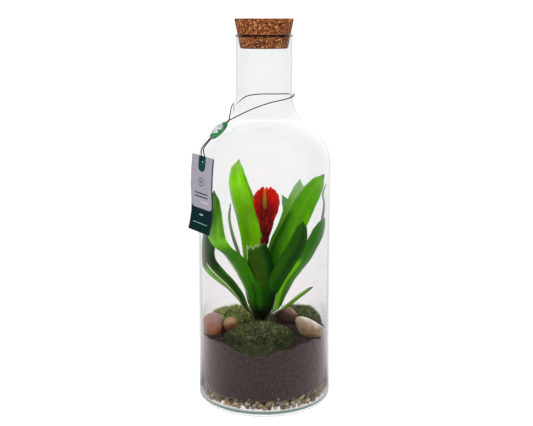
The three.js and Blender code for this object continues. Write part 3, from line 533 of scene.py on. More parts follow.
# Each leaf: azimuth and radius of its root, azimuths that its under side looks at in its middle and at its
# tip, half width, middle line, tones from foot to tip, and bands. Three have their own widths, and one of
# those a ragged end. A band has its place across, -1 to 1, its half width, the parts of the length that it
# runs between, its tone and its strength. The tones paint light and shade along with the leaf's own green:
# a leaf is brighter or darker by how light falls on it. The pale bands are painted highlights along margins
# and folds, and the dark bands are painted shade.
LEAVES = {
    "back": dict(
        root=(85, 0.0068), face=85, width=0.009,
        route=[
            (-0.0015, 0.016, 0.112), (0.006, 0.027, 0.135), (0.015, 0.036, 0.156), (0.023, 0.042, 0.178),
            (0.029, 0.046, 0.2), (0.031, 0.047, 0.219), (0.027, 0.046, 0.234), (0.022, 0.045, 0.243),
        ],
        tones=[(0, "3b3f22"), (0.3, "3a7c12"), (0.7, "64a83c"), (1, "84b484")],
    ),
    "right_front": dict(
        root=(320, 0.0068), face=284, width=0.0115,
        route=[
            (0.003, -0.011, 0.118), (0.013, -0.022, 0.146), (0.025, -0.031, 0.172), (0.036, -0.0345, 0.191),
            (0.042, -0.0355, 0.207), (0.045, -0.035, 0.227),
        ],
        tones=[(0, "1c1c0a"), (0.2, "123400"), (0.55, "184e00"), (0.75, "184600"), (1, "204c08")],
        light_and_shade_bands=[(-0.55, 0.5, 0.2, 0.8, "2c6200", 0.5), (0.3, 0.4, 0.5, 1, "0e2800", 0.6)],
    ),
    "left_tall": dict(
        root=(125, 0.0081), face=100, width=0.0145,
        route=[
            (-0.0095, 0.011, 0.112), (-0.013, 0.015, 0.165), (-0.016, 0.018, 0.2), (-0.021, 0.02, 0.222),
            (-0.027, 0.022, 0.243), (-0.0325, 0.023, 0.264), (-0.033, 0.023, 0.279), (-0.0304, 0.022, 0.291),
        ],
        tones=[
            (0, "4c4f2a"), (0.14, "70b800"), (0.28, "a6ff00"), (0.5, "9cf600"), (0.75, "86e000"),
            (0.9, "7cd008"), (0.97, "8cc448"), (1, "98b078"),
        ],
        light_and_shade_bands=[
            (-0.15, 0.3, 0.6, 0.96, "a4e048", 0.5), (0.95, 0.3, 0.62, 0.97, "b0d49c", 0.75),
            (-0.95, 0.35, 0.45, 0.95, "4c9c00", 0.7),
        ],
    ),
    "right_tall": dict(
        root=(5, 0.0081), face=75, width=0.0145,
        route=[
            (0.005, 0.004, 0.115), (0.0125, 0.005, 0.15), (0.0225, 0.004, 0.184), (0.0305, 0.003, 0.2),
            (0.042, 0.001, 0.225), (0.049, -0.001, 0.241), (0.057, -0.003, 0.2555), (0.064, -0.005, 0.267),
            (0.0712, -0.006, 0.277),
        ],
        tones=[
            (0, "3c4018"), (0.2, "143c00"), (0.4, "286000"), (0.6, "408400"), (0.85, "4e9400"),
            (0.97, "5aa010"), (1, "4a5a2a"),
        ],
        light_and_shade_bands=[
            (0.85, 0.5, 0.2, 0.75, "184400", 0.85), (-0.8, 0.8, 0.12, 0.8, "64ae00", 0.85),
            (0.05, 0.14, 0.3, 0.97, "74b428", 0.45), (0.95, 0.12, 0.75, 1, "8cae78", 0.6),
        ],
    ),
    "right_back": dict(
        root=(45, 0.0094), face=80, width=0.013,
        route=[
            (0.004, 0.015, 0.112), (0.012, 0.025, 0.1607), (0.02, 0.031, 0.185), (0.0275, 0.033, 0.2),
            (0.034, 0.035, 0.218), (0.0395, 0.035, 0.236), (0.043, 0.035, 0.252), (0.0442, 0.035, 0.2644),
        ],
        tones=[(0, "3c4018"), (0.3, "4a8c04"), (0.6, "62aa14"), (0.85, "7cb848"), (1, "a4c0a0")],
        light_and_shade_bands=[(-0.75, 0.5, 0.5, 1, "a8cc94", 0.7), (0.2, 0.3, 0.5, 0.95, "94c86c", 0.5)],
    ),
    "left_front": dict(
        root=(212, 0.0094), face=236, width=0.015, tip_face=226,
        route=[
            (-0.014, -0.004, 0.112), (-0.0195, -0.015, 0.141), (-0.028, -0.027, 0.165),
            (-0.038, -0.035, 0.183), (-0.049, -0.041, 0.1945), (-0.0555, -0.0425, 0.206),
            (-0.058, -0.0425, 0.226), (-0.0576, -0.042, 0.247), (-0.0565, -0.041, 0.264),
        ],
        tones=[
            (0, "3a3a1c"), (0.12, "1c4004"), (0.26, "2c6c00"), (0.5, "307400"), (0.62, "387c04"),
            (0.68, "66b414"), (0.8, "80cc3c"), (1, "60ac1c"),
        ],
        light_and_shade_bands=[
            (-0.84, 0.3, 0.08, 0.66, "f4fae6", 0.95), (-0.38, 0.1, 0.12, 0.55, "b8cc9c", 0.6),
            (0.1, 0.3, 0.15, 0.5, "3c8200", 0.5), (0.8, 0.4, 0.68, 1, "2c6404", 0.7),
        ],
    ),
    "back_upright": dict(
        root=(104, 0.0107), face=98, width=0.012,
        route=[
            (-0.007, 0.019, 0.112), (-0.012, 0.034, 0.1619), (-0.018, 0.044, 0.2017), (-0.0235, 0.049, 0.238),
        ],
    ),
    "front_cut": dict(
        root=(284, 0.0107), face=272, width=0.0155, widths=CUT_STRAP, jagged=0.05,
        route=[
            (0, -0.0115, 0.11), (0.0002, -0.017, 0.127), (-0.002, -0.026, 0.154), (-0.005, -0.033, 0.178),
            (-0.0104, -0.041, 0.2015),
        ],
        tones=[
            (0, "101005"), (0.13, "102204"), (0.5, "164400"), (0.955, "1c5400"), (0.985, "4a7428"),
            (1, "a9bc90"),
        ],
        light_and_shade_bands=[
            (-0.35, 1.0, 0.5, 1.0, "384800", 0.6), (-0.5, 0.5, 0.2, 0.62, "267000", 0.6),
            (0.8, 0.6, 0.2, 1.05, "002c00", 0.95), (-0.96, 0.06, 0.8, 1.05, "cdd6bc", 0.9),
            (0, 0.9, 0, 0.16, "0a0a04", 0.95),
        ],
    ),
    "left_edge": dict(
        root=(155, 0.012), face=172, width=0.007,
        route=[
            (-0.018, 0.014, 0.113), (-0.025, 0.026, 0.143), (-0.033, 0.036, 0.1683), (-0.0405, 0.041, 0.1898),
            (-0.045, 0.043, 0.2149), (-0.0421, 0.041, 0.233),
        ],
        tones=[(0, "5c5c40"), (0.5, "748c70"), (1, "8ca088")],
    ),
    "right_low": dict(
        root=(343, 0.0135), face=312, width=0.0138, widths=WIDE_FOOT_STRAP,
        route=[
            (0.0185, -0.002, 0.112), (0.023, -0.003, 0.127), (0.0293, -0.004, 0.143), (0.038, -0.005, 0.156),
            (0.0483, -0.006, 0.1705), (0.0563, -0.006, 0.185), (0.064, -0.005, 0.2), (0.069, -0.002, 0.211),
            (0.0733, 0.001, 0.223),
        ],
        tones=[
            (0, "55563a"), (0.13, "5c5e42"), (0.22, "346c06"), (0.4, "347804"), (0.5, "347a02"),
            (0.8, "2c6c02"), (1, "2a6a14"),
        ],
        light_and_shade_bands=[
            (-0.95, 0.07, 0.12, 0.62, "cfe0bc", 0.9), (-0.6, 0.45, 0.1, 0.65, "7cc800", 0.9),
            (0.4, 0.2, 0.5, 0.95, "4a8c14", 0.5),
        ],
    ),
    "right_narrow": dict(
        root=(25, 0.0133), face=8, width=0.0045,
        route=[
            (0.014, 0.013, 0.112), (0.033, 0.02, 0.148), (0.053, 0.022, 0.176), (0.068, 0.019, 0.202),
            (0.073, 0.013, 0.222), (0.074, 0.009, 0.238), (0.0716, 0.007, 0.252), (0.0748, 0.004, 0.264),
        ],
        tones=[(0, "5a6a4a"), (0.5, "84a08a"), (1, "94aaa2")],
    ),
    "far_left": dict(
        root=(190, 0.0165), face=246, width=0.0138, tip_face=222, widths=WIDE_FOOT_STRAP,
        route=[
            (-0.025, 0.002, 0.109), (-0.035, 0, 0.128), (-0.0455, -0.005, 0.142), (-0.056, -0.009, 0.1535),
            (-0.064, -0.011, 0.163), (-0.069, -0.0125, 0.1725), (-0.0702, -0.013, 0.182),
            (-0.068, -0.014, 0.197), (-0.0665, -0.014, 0.214), (-0.066, -0.014, 0.234),
        ],
        tones=[
            (0, "50523a"), (0.15, "5a5c3c"), (0.22, "3c6412"), (0.5, "3a7a08"), (0.62, "1c3c10"),
            (1, "2c4a1c"),
        ],
        light_and_shade_bands=[
            (-0.55, 0.5, 0.06, 0.62, "78bc08", 0.95), (0.55, 0.6, 0.08, 0.75, "14300a", 0.85),
            (-0.02, 0.11, 0.1, 0.64, "e4f0d8", 0.95),
        ],
    ),
    "back_right_low": dict(
        root=(62, 0.0146), face=60, width=0.011,
        route=[(0.005, 0.022, 0.108), (0.017, 0.039, 0.134), (0.027, 0.05, 0.155), (0.032, 0.054, 0.172)],
    ),
    "back_left_low": dict(
        root=(132, 0.0146), face=125, width=0.01,
        route=[
            (-0.013, 0.021, 0.104), (-0.016, 0.037, 0.121), (-0.019, 0.049, 0.134), (-0.021, 0.056, 0.143),
        ],
    ),
    "right_small": dict(
        root=(350, 0.018), face=305, width=0.0052,
        route=[
            (0.021, -0.001, 0.104), (0.03, -0.004, 0.1145), (0.042, -0.008, 0.126), (0.059, -0.008, 0.1395),
        ],
        tones=[(0, "7c7e4c"), (0.3, "64a410"), (1, "3c7c06")],
        light_and_shade_bands=[(-0.8, 0.4, 0.2, 0.95, "a8cc70", 0.8)],
    ),
}


def keyed(keys, x):
    """Value at x of a list of places and values, eased between neighbours."""
    if x <= keys[0][0]:
        return keys[0][1]
    for (x0, y0), (x1, y1) in zip(keys, keys[1:]):
        if x <= x1:
            part = (x - x0) / (x1 - x0)
            return mix(y0, y1, 0.5 * (smooth_step(part) + part))
    return keys[-1][1]


def smooth_line(points, per_span):
    """A line of close points on the centripetal curve through a few points."""
    points = [Vector(point) for point in points]
    knots = [2 * points[0] - points[1], *points, 2 * points[-1] - points[-2]]
    line = []
    for a, b, c, d in zip(knots, knots[1:], knots[2:], knots[3:]):
        before, span, after = ((q - p).length ** 0.5 for p, q in ((a, b), (b, c), (c, d)))
        leave = (b - a) / before - (c - a) / (before + span) + (c - b) / span
        reach = (c - b) / span - (d - b) / (span + after) + (d - c) / after
        leave, reach = leave * span, reach * span
        for i in range(per_span):
            u = i / per_span
            square, cube = 3 * (c - b) - 2 * leave - reach, 2 * (b - c) + leave + reach
            line.append(b + leave * u + square * u**2 + cube * u**3)
    return [*line, points[-1]]


def even_line(line, count):
    """The same line with its points evenly spaced."""
    steps = np.array([0, *((q - p).length for p, q in zip(line, line[1:]))]).cumsum()
    table = np.array(line)
    spots = np.linspace(0, steps[-1], count)
    return [Vector(np.interp(s, steps, table[:, k]) for k in range(3)) for s in spots]


def held_in(point, reach):
    """The point, drawn in to a distance from the bottle's axis."""
    shrink = min(1, reach / max(math.hypot(point.x, point.y), 1e-9))
    return Vector((point.x * shrink, point.y * shrink, point.z))


def leaf_colour(tones, light_and_shade_bands, place, side):
    """Tone of a blade at a part of its length and a place across it, -1 to 1, with its painted highlights and
    shade.
    """
    tone = keyed([(at, hue(code)) for at, code in tones], place)
    for at, wide, low, high, code, strength in light_and_shade_bands:
        near = max(0, 1 - abs(side - at) / wide)
        along = smooth_step((place - low) / 0.06) * smooth_step((high - place) / 0.06)
        tone = mix(tone, hue(code), strength * smooth_step(near) * along)
    return tone


def torn(place, side, jagged):
    """The part of the length where a point of a blade with a ragged end lies."""
    broad, fine = noise.noise(Vector((side * 4.2, 3.3, 0))), noise.noise(Vector((side * 13, 0, 0)))
    tear = jagged * max(0, 0.5 + 0.9 * broad + 0.5 * fine)
    return place * (1 - tear * smooth_step((place - 0.5) / 0.4))


def strap_leaf(root, face, width, route, tip_face=None, widths=STRAP, jagged=0, tones=BACK_TONES, light_and_shade_bands=()):
    """One leaf: a grid whose points are laid along the middle line, then given its thickness."""
    azimuth, radius = math.radians(root[0]), root[1]
    tip_face = face if tip_face is None else tip_face
    foot = [
        PLANT + round_axis(radius, azimuth, SHEATH_FOOT),
        PLANT + round_axis(radius + SHEATH_SPREAD, azimuth, SHEATH_FOOT + SHEATH_HEIGHT),
    ]
    line = even_line(smooth_line([*foot, *route], 30), LEAF_STEPS + 1)
    root_bend = width * widths[0][1] / radius
    drift = Vector((radius * 900, face, width * 500))
    grid = bpy.ops.mesh.primitive_grid_add
    leaf = primitive(grid, x_subdivisions=LEAF_COLUMNS, y_subdivisions=LEAF_ROWS, size=2)
    for point, spot in zip(leaf.data.vertices, tone_layer(leaf.data)):
        side = math.sin(point.co.x * math.pi / 2)
        place = 1 - (1 - (point.co.y + 1) / 2) ** 1.25
        tone = leaf_colour(tones, light_and_shade_bands, place, side)
        place = torn(place, side, jagged)
        turn = (face - root[0]) * smooth_step((place - 0.05) / 0.4)
        turn += (tip_face - face) * smooth_step((place - 0.5) / 0.3)
        across_angle = azimuth + math.radians(turn)
        step = min(int(place * LEAF_STEPS), LEAF_STEPS - 1)
        centre = line[step].lerp(line[step + 1], place * LEAF_STEPS - step)
        tangent = (line[min(step + 3, LEAF_STEPS)] - line[max(step - 3, 0)]).normalized()
        across = Vector((-math.sin(across_angle), math.cos(across_angle), 0))
        across = (across - tangent * across.dot(tangent)).normalized()
        half_width = width * keyed(widths, place)
        half_width *= 1 + 0.02 * noise.noise(Vector((place * 6, math.copysign(4, side), 0)) + drift)
        bend = mix(root_bend, BLADE_BEND, smooth_step(place / 0.8))
        wave = LEAF_WAVE * side**2 * noise.noise(Vector((place * 7, side, 2)) + drift)
        crease = -LEAF_CREASE * math.exp(-((side / 0.16) ** 2)) * smooth_step(place / 0.3)
        sideways = half_width * math.sin(bend * side) / bend
        raised = half_width * (1 - math.cos(bend * side)) / bend + wave + crease
        here = centre + across * sideways + tangent.cross(across) * raised
        hug = HUG * smooth_step((HUG_TOP - here.z) / HUG_FADE)
        away = Vector((here.x - PLANT.x, here.y - PLANT.y, 0))
        if away.length > STEM_SKIN:
            here -= away * (1 - mix(away.length, STEM_SKIN, hug) / away.length)
        point.co = held_in(here, LEAF_REACH)
        # Painted shade: the blade is darkened near the place where the blades part.
        crown_shade = smooth_step(1.3 - (point.co - CROWN_SHADE_MIDDLE).length / CROWN_SHADE_RADIUS)
        spot.color = (*mix(tone, hue("0b0b05"), 0.93 * crown_shade), 1)
    pick_out(leaf)
    wall = leaf.modifiers.new("thickness", "SOLIDIFY")
    wall.thickness = LEAF_THICKNESS
    wall.offset = 0
    wall.use_even_offset = False
    bpy.ops.object.modifier_apply(modifier="thickness")
    faces_out()
    bpy.ops.object.shade_smooth_by_angle(angle=math.radians(50))
    return leaf


leaf_skin = new_finish("bromeliad leaf", Roughness=0.42, Specular_IOR_Level=0.09)
lengthwise = stretched(leaf_skin, (26, 1.2, 1), wire(leaf_skin, "UVMap", {}).outputs["UV"])
veins = grain(leaf_skin, 4, 3.0, lengthwise)
veined = shaded(leaf_skin, tone_of(leaf_skin), veins, (0.3, (0.74, 0.78, 0.7)), (0.7, (1.2, 1.18, 1.15)))
blotches = (0.3, (0.8, 0.82, 0.8)), (0.7, (1.12, 1.1, 1.1))
feed(leaf_skin, "Base Color", shaded(leaf_skin, veined, grain(leaf_skin, 55, 3.0), *blotches))
relief(leaf_skin, veins, 0.35, 0.0006)
for name, look in LEAVES.items():
    dress(strap_leaf(**look), "blade_" + name, leaf_skin, "leaf", "leaf_" + name)

# Flower stalk: a round fleshy stalk up the middle of the rosette, dark maroon, with a few short bracts
# wrapped about it.
STALK_RADIUS = 0.003007
STALK_ROUTE = [
    (-0.004, 0.004, 0.0973), (-0.0032, 0.003, 0.12), (-0.0016, 0.0015, 0.155), (0.0006, 0, 0.185),
    (0.0019, -0.0008, 0.2037),
]
WRAPS = [(0.118, 1), (0.138, -1), (0.158, 1), (0.176, -1), (0.19, 1)]  # height and side of each short bract
WRAP_TONES = [(0, "4a0c10"), (0.6, "640810"), (1, "8c1212")]


def tube(line, radius, sides):
    """A round closed tube along a line."""
    data = bpy.data.curves.new("tube", "CURVE")
    data.dimensions = "3D"
    data.bevel_depth = radius
    data.bevel_resolution = sides // 2 - 2
    data.use_fill_caps = True
    spline = data.splines.new("POLY")
    spline.points.add(len(line) - 1)
    for spot, point in zip(spline.points, line):
        spot.co = (*point, 1)
    pick_out(set_in_scene("tube", data))
    bpy.ops.object.convert(target="MESH")
    faces_out(merge=1e-7)
    bpy.ops.object.shade_smooth()
    return bpy.context.object


def bract_shape():
    """A blunt boat-shaped scale of unit size along +Z with its foot at the origin."""
    scale = primitive(bpy.ops.mesh.primitive_uv_sphere_add, segments=18, ring_count=14, radius=1)
    for point in scale.data.vertices:
        x, y, z = point.co
        ring = math.hypot(x, y)
        blunt = (1 - abs(z) ** 3.4) ** 0.5 / ring if ring > 1e-6 else 1
        keel = 1 + 0.12 * math.cos(2 * math.atan2(x, y)) if ring > 1e-6 else 1
        point.co = (x * blunt, y * blunt * keel, 0.5 * (z + 1))
    return shape_arrays(scale)


bract = bract_shape()


def bract_copy(foot, lean, tilt, length, half_width, half_thick, narrow, tones):
    """One bract: a copy narrowed towards its tip, leaned to the side, and coloured from foot to tip."""
    points, faces = bract
    spots = points * (half_width, half_thick, length)
    spots[:, :2] *= 1 - narrow * points[:, 2:3]
    turn = Matrix.Rotation(lean, 3, "Y") @ Matrix.Rotation(tilt, 3, "X")
    tones = [(at, opaque(tone)[:3]) for at, tone in tones]
    colours = np.array([keyed(tones, z) for z in points[:, 2]])
    return (spots, faces), Matrix.LocRotScale(Vector(foot), turn.to_quaternion(), None), colours


def petal_finish(name, roughness):
    """A fleshy skin with fine long streaks, in the tones painted on the mesh."""
    skin = new_finish(name, Roughness=roughness, Specular_IOR_Level=0.14)
    streaks = grain(skin, 900, 3.0, stretched(skin, (1, 1, 0.16)))
    mottle(skin, streaks, (0.3, (0.62, 0.55, 0.55)), (0.7, (1.3, 1.3, 1.3)))
    relief(skin, streaks, 0.4, 0.0003)
    return skin


stalk = tube(even_line(smooth_line(STALK_ROUTE, 20), 70), STALK_RADIUS, 20)
for point in stalk.data.vertices:
    ripple = 0.00012 * math.sin(6 * math.atan2(point.co.y, point.co.x - 0.001) + point.co.z * 90)
    point.co += Vector((point.co.x, point.co.y, 0)).normalized() * ripple
painted(stalk, lambda p: mix(hue("5d6a2a"), hue("5a0a12"), smooth_step((p.z - 0.12) / 0.05)))
copies = []
route_x, route_y, route_z = zip(*STALK_ROUTE)
for height, side in WRAPS:
    x, y = np.interp(height, route_z, route_x), np.interp(height, route_z, route_y)
    foot = (x + side * 0.0015, y - 0.0006, height)
    copies.append(bract_copy(foot, side * 0.06, 0.03, 0.024, 0.0036, 0.0031, 0.4, WRAP_TONES))
join_up(stalk, stamped("stalk_bracts", copies))
bpy.ops.object.shade_smooth()
dress(stalk, "flower_stem", petal_finish("stalk skin", 0.42), "flower_stalk", "flower_stalk")

# Flower head: a flat spike of two ranks of overlapping waxy bracts fused on one axis, scarlet, darker at
# their feet and paler at their tips, partly their own colour and partly painted highlight. A slim olive
# floret shows between the bracts at the front.
HEAD_FOOT = Vector((0.002, -0.0008, 0.205))
HEAD_LEAN = 0.02
BRACTS_A_SIDE = 12
# part of the way up: foot above the head's foot, reach to the side, height of the tip, half thickness
BRACT_RISE = [
    (0, (0.0030, 0.0060, 0.0160, 0.0036)), (0.15, (0.0065, 0.0108, 0.0250, 0.0044)),
    (0.32, (0.0100, 0.0143, 0.0335, 0.0046)), (0.5, (0.0135, 0.0154, 0.0412, 0.0043)),
    (0.67, (0.0160, 0.0141, 0.0476, 0.0038)), (0.84, (0.0185, 0.0104, 0.0532, 0.0033)),
    (1, (0.0210, 0.0044, 0.0568, 0.0028)),
]
AXIS_PROFILE = [
    (0, -0.010), (0.0031, -0.010), (0.0040, -0.005), (0.0056, 0), (0.0074, 0.006), (0.0086, 0.012),
    (0.0078, 0.019), (0.004, 0.025), (0, 0.026),
]
MIDDLE_TONES = [(0, "2e0104"), (0.4, "560205"), (0.8, "940a04"), (1, "d83c14")]
FRONT_TONES = [(0, "2e0104"), (0.6, "620305"), (1, "960a08")]
FLORET_TONES = [(0, "7a1008"), (0.2, "7c5a10"), (0.5, "867418"), (0.75, "a06018"), (1, "e04c1a")]
head_turn = Matrix.Translation(HEAD_FOOT) @ Matrix.Rotation(HEAD_LEAN, 4, "Y")
draw = random.Random(5)
copies = []
for step in range(BRACTS_A_SIDE):
    rise = step / (BRACTS_A_SIDE - 1)
    start, reach, height, thick = keyed(BRACT_RISE, rise)
    for side in (-1, 1):
        lean = side * math.atan2(reach, height - start) + draw.uniform(-0.02, 0.02)
        length = math.hypot(reach, height - start) * draw.uniform(0.985, 1.01)
        deep = mix(hue("440205"), hue("740305"), rise)
        body = mix(hue("860303"), hue("c40a04"), 0.5 * rise + draw.uniform(0, 0.4))
        # Painted highlight: the tips are lit orange, more so on the higher bracts.
        tip = mix(hue("c81004"), hue("f2461a"), draw.uniform(0.0, 0.8) * (0.4 + 0.6 * rise))
        tones = [(0, "2e0104"), (0.4, deep), (0.78, body), (0.95, mix(body, tip, 0.35)), (1, tip)]
        foot, half_width = (0, draw.uniform(-0.0004, 0.0004), start), mix(0.0044, 0.0036, rise)
        copies.append(bract_copy(foot, lean, side * 0.02, length, half_width, thick, 0.12, tones))
copies += [
    bract_copy((0, 0, 0), 0, 0, 0.0562, 0.0046, 0.0042, 0.2, MIDDLE_TONES),
    bract_copy((-0.0008, -0.0022, 0.002), -0.1, 0.05, 0.026, 0.0027, 0.0026, 0.4, FRONT_TONES),
    bract_copy((0.0008, -0.0022, 0.004), 0.1, 0.05, 0.022, 0.0027, 0.0026, 0.4, FRONT_TONES),
    bract_copy((-0.0016, -0.0034, 0.0285), -0.05, 0, 0.0255, 0.0028, 0.0017, 0.3, FLORET_TONES),
]
head = stamped("head", [(shape, head_turn @ place, tones) for shape, place, tones in copies])
axis = turned(AXIS_PROFILE, 36)
for point in axis.data.vertices:
    ribbed = 1 + 0.07 * math.cos(9 * math.atan2(point.co.y, point.co.x))
    point.co = head_turn @ Vector((point.co.x * ribbed, point.co.y * ribbed * 0.62, point.co.z))
painted(axis, lambda p: mix(hue("400408"), hue("8c0808"), smooth_step((p.z - 0.198) / 0.026)))
join_up(head, axis)
bpy.ops.object.shade_smooth()
dress(head, "flower_spike", petal_finish("waxy red bracts", 0.36), "flower_bract", "flower_head")

# Moss: cushions of sheet moss pulled from the wild, laid on the soil and pressed to the glass. Each is a
# dark mat with thousands of short curling sprigs, painted lighter at their tips on the cushion's top as
# painted top light, the lightest tips a painted highlight, and darker at their feet low on its sides as
# painted shade.
# tones of each cushion: deep, low, mid and high; the high tone is a painted highlight on sprig tips
MOSS = {
    "moss_front": dict(
        at=(-0.004, -0.047, 0.084), size=(0.040, 0.031, 0.019), turn=0, lump=0.0015, sprigs=4200,
        tones=("13170a", "3a4c18", "60762e", "c8d49c"),
    ),
    "moss_back_left": dict(
        at=(-0.042, 0.040, 0.082), size=(0.037, 0.024, 0.0145), turn=0.45, lump=0.0012, sprigs=3400,
        stalks=60, tones=("262c14", "98b04c", "d8e888", "fcfce8"),
    ),
    "moss_back_right": dict(
        at=(0.047, 0.038, 0.080), size=(0.035, 0.023, 0.0185), turn=-0.6, lump=0.0013, sprigs=3400,
        stalks=70, tones=("080a08", "5e703e", "9eb268", "dee4b8"),
    ),
}
MOSS_REACH = 0.0762
PLANT_HOLE = 0.0185  # no sprig grows this near to the rosette's axis
SPRIG_LEAVES = [(0.22, 0.9), (0.42, 0.8), (0.6, 0.75), (0.78, 0.6)]  # height and spread
SPRIG_LENGTHS = 0.003, 0.0058
STALK_SIZE, STALK_TONE = (0.0016, 0.0016, 0.011), "181c10"  # dry stalks of seed heads


def moss_point(way, size, lump, swell):
    """Where the cushion's skin is in a direction from its middle."""
    x, y, z = (1000 * way.x * size[0], 1000 * way.y * size[1], 1000 * way.z * size[2])
    rise = math.sin(x / 3.1 + 2) * math.cos(y / 2.7) + 0.6 * math.sin(z / 2.3 + x / 5)
    return Vector((way.x * size[0], way.y * size[1], way.z * size[2])) + way * (lump * rise + swell)


def sprig_shape():
    """A curling stem of unit length along +Z with small leaves, a few dozen faces."""
    cone = bpy.ops.mesh.primitive_cone_add
    stem = primitive(cone, vertices=3, radius1=0.095, radius2=0.02, depth=1, location=(0, 0, 0.5))
    bpy.ops.object.transform_apply(location=True, rotation=True, scale=True)
    bpy.ops.object.mode_set(mode="EDIT")
    for height in (0.35, 0.7):
        bpy.ops.mesh.select_all(action="SELECT")
        bpy.ops.mesh.bisect(plane_co=(0, 0, height), plane_no=(0, 0, 1))
    bpy.ops.object.mode_set(mode="OBJECT")
    leaves = []
    for i, (height, spread) in enumerate(SPRIG_LEAVES):
        leaf = primitive(cone, vertices=3, radius1=0.09, radius2=0, depth=0.34 - 0.04 * i)
        for point in leaf.data.vertices:
            point.co.z += 0.17 - 0.02 * i
        turn = Matrix.Rotation(2.4 * i, 4, "Z") @ Matrix.Rotation(spread, 4, "X")
        leaf.matrix_world = Matrix.Translation((0, 0, height)) @ turn
        leaves.append(leaf)
    join_up(stem, *leaves)
    for point in stem.data.vertices:
        point.co.x += 0.34 * point.co.z**2
    return shape_arrays(stem)


def sprig_grows(way, spot):
    """Whether a sprig has room at a spot: above the soil, inside the glass, and clear of the rosette."""
    radius = math.hypot(spot.x, spot.y)
    buried = spot.z < soil_height(spot.x, spot.y) - (0.006 if radius > 0.07 else 0.0005)
    in_plant = math.hypot(spot.x - PLANT.x, spot.y - PLANT.y) < PLANT_HOLE
    return way.z >= -0.75 and radius <= BODY_RADIUS + 0.004 and not buried and not in_plant


def moss_cushion(name, at, size, turn, lump, sprigs, tones, stalks=0):
    """The mat with its sprigs and a few dry seed stalks, held in by the glass."""
    draw = random.Random(len(name) * 31 + sprigs)
    spin = Matrix.Rotation(turn, 3, "Z")
    at = Vector(at)
    mat = primitive(bpy.ops.mesh.primitive_ico_sphere_add, subdivisions=6, radius=1)
    for point in mat.data.vertices:
        way = point.co.copy()
        point.co = spin @ moss_point(way, size, lump, 0.0006 * noise.noise(way * 14) - 0.0012) + at
    points, faces = shape_arrays(mat)
    held = np.array([keep_inside(Vector(p), MOSS_REACH - 0.0004) for p in points])
    deep, low, mid, high = (hue(code) for code in tones)
    copies = [((held, faces), Matrix.Identity(4), mix(deep, (0, 0, 0), 0.25))]
    while len(copies) <= sprigs:
        way = any_way(draw)
        spot = spin @ moss_point(way, size, lump, -0.0014) + at
        if not sprig_grows(way, spot):
            continue
        normal = (spin @ Vector((way.x / size[0], way.y / size[1], way.z / size[2]))).normalized()
        lean = Vector((draw.gauss(0, 0.9), draw.gauss(0, 0.9), draw.gauss(0.1, 0.7)))
        length = draw.uniform(*SPRIG_LENGTHS)
        turn_up = (normal + lean).normalized().to_track_quat("Z", "Y")
        turn_up = turn_up @ Matrix.Rotation(draw.uniform(0, 6.28), 3, "Z").to_quaternion()
        # Painted light and shade: sprigs facing up get lighter tips and feet, and the lightest tips take the
        # high tone as painted highlight.
        light = draw.random() ** 0.7 * (0.5 + 0.5 * smooth_step(1.2 * way.z))
        foot = mix(deep, low, draw.random() * (0.2 + 0.8 * smooth_step(1.3 * way.z)))
        end = mix(low, mid, light) if light < 0.7 else mix(mid, high, (light - 0.7) * 3.3)
        if len(copies) <= stalks:
            copies.append((sprig, placed(spot, STALK_SIZE, turn_up), hue(STALK_TONE)))
        else:
            colours = np.array(foot) + (np.array(end) - np.array(foot)) * np.clip(sprig[0][:, 2:3], 0, 1)
            copies.append((sprig, placed(spot, (length * 0.8, length * 0.8, length), turn_up), colours))
    cushion = stamped(name, copies)
    for point in cushion.data.vertices:
        point.co = held_in(point.co, MOSS_REACH)
    return cushion


sprig = sprig_shape()
moss_green = new_finish("sheet moss", Roughness=0.8, Sheen_Weight=0.2)
mottle(moss_green, grain(moss_green, 130, 3.0), (0.32, (0.5, 0.47, 0.42)), (0.66, (1.25, 1.2, 1.1)))
for name, look in MOSS.items():
    dress(moss_cushion(name, **look), name.replace("moss", "moss_cushion"), moss_green, "moss", name)

# Pebbles: four hard river stones, worn smooth by water. Each was pressed into the soil until it was half
# sunk.
# The tones of a stone: its own colour, the colour round its heart, and the paler colour of its top, painted
# top light.
PEBBLES = {
    "pebble_pink": dict(
        at=(-0.0618, -0.018, 0.0922), size=(0.0134, 0.014, 0.0178), turn=(0.2, 0.2, 0.1),
        lobes=(0.06, 0.05, 1.3), taper=0.14, tones=("8e5e4e", "a8623c", "a48480"), heart=(0.5, -0.6, -0.35),
    ),
    "pebble_amber": dict(
        at=(-0.0382, -0.025, 0.096), size=(0.0096, 0.009, 0.0105), turn=(0.1, -0.4, 0.3),
        lobes=(0.1, 0.08, 4.1), taper=0.1, tones=("6e4a2e", "5e3416", "a88c68"), heart=(-0.2, -0.8, -0.1),
    ),
    "pebble_brown": dict(
        at=(0.029, 0.017, 0.095), size=(0.0135, 0.010, 0.010), turn=(0.1, 0.3, 0.4),
        lobes=(0.08, 0.1, 2.2), taper=0.1, tones=("6b4c3c", "543a34", "8a6a58"), heart=(-0.4, -0.7, 0.1),
    ),
    "pebble_tan": dict(
        at=(0.053, -0.029, 0.0915), size=(0.018, 0.013, 0.013), turn=(-0.15, 0.45, 0.3),
        lobes=(0.1, 0.06, 0.4), taper=0.62, tones=("948470", "92765a", "e2dccc"), heart=(0.0, -0.8, -0.3),
    ),
}
PEBBLE_REACH = 0.0759


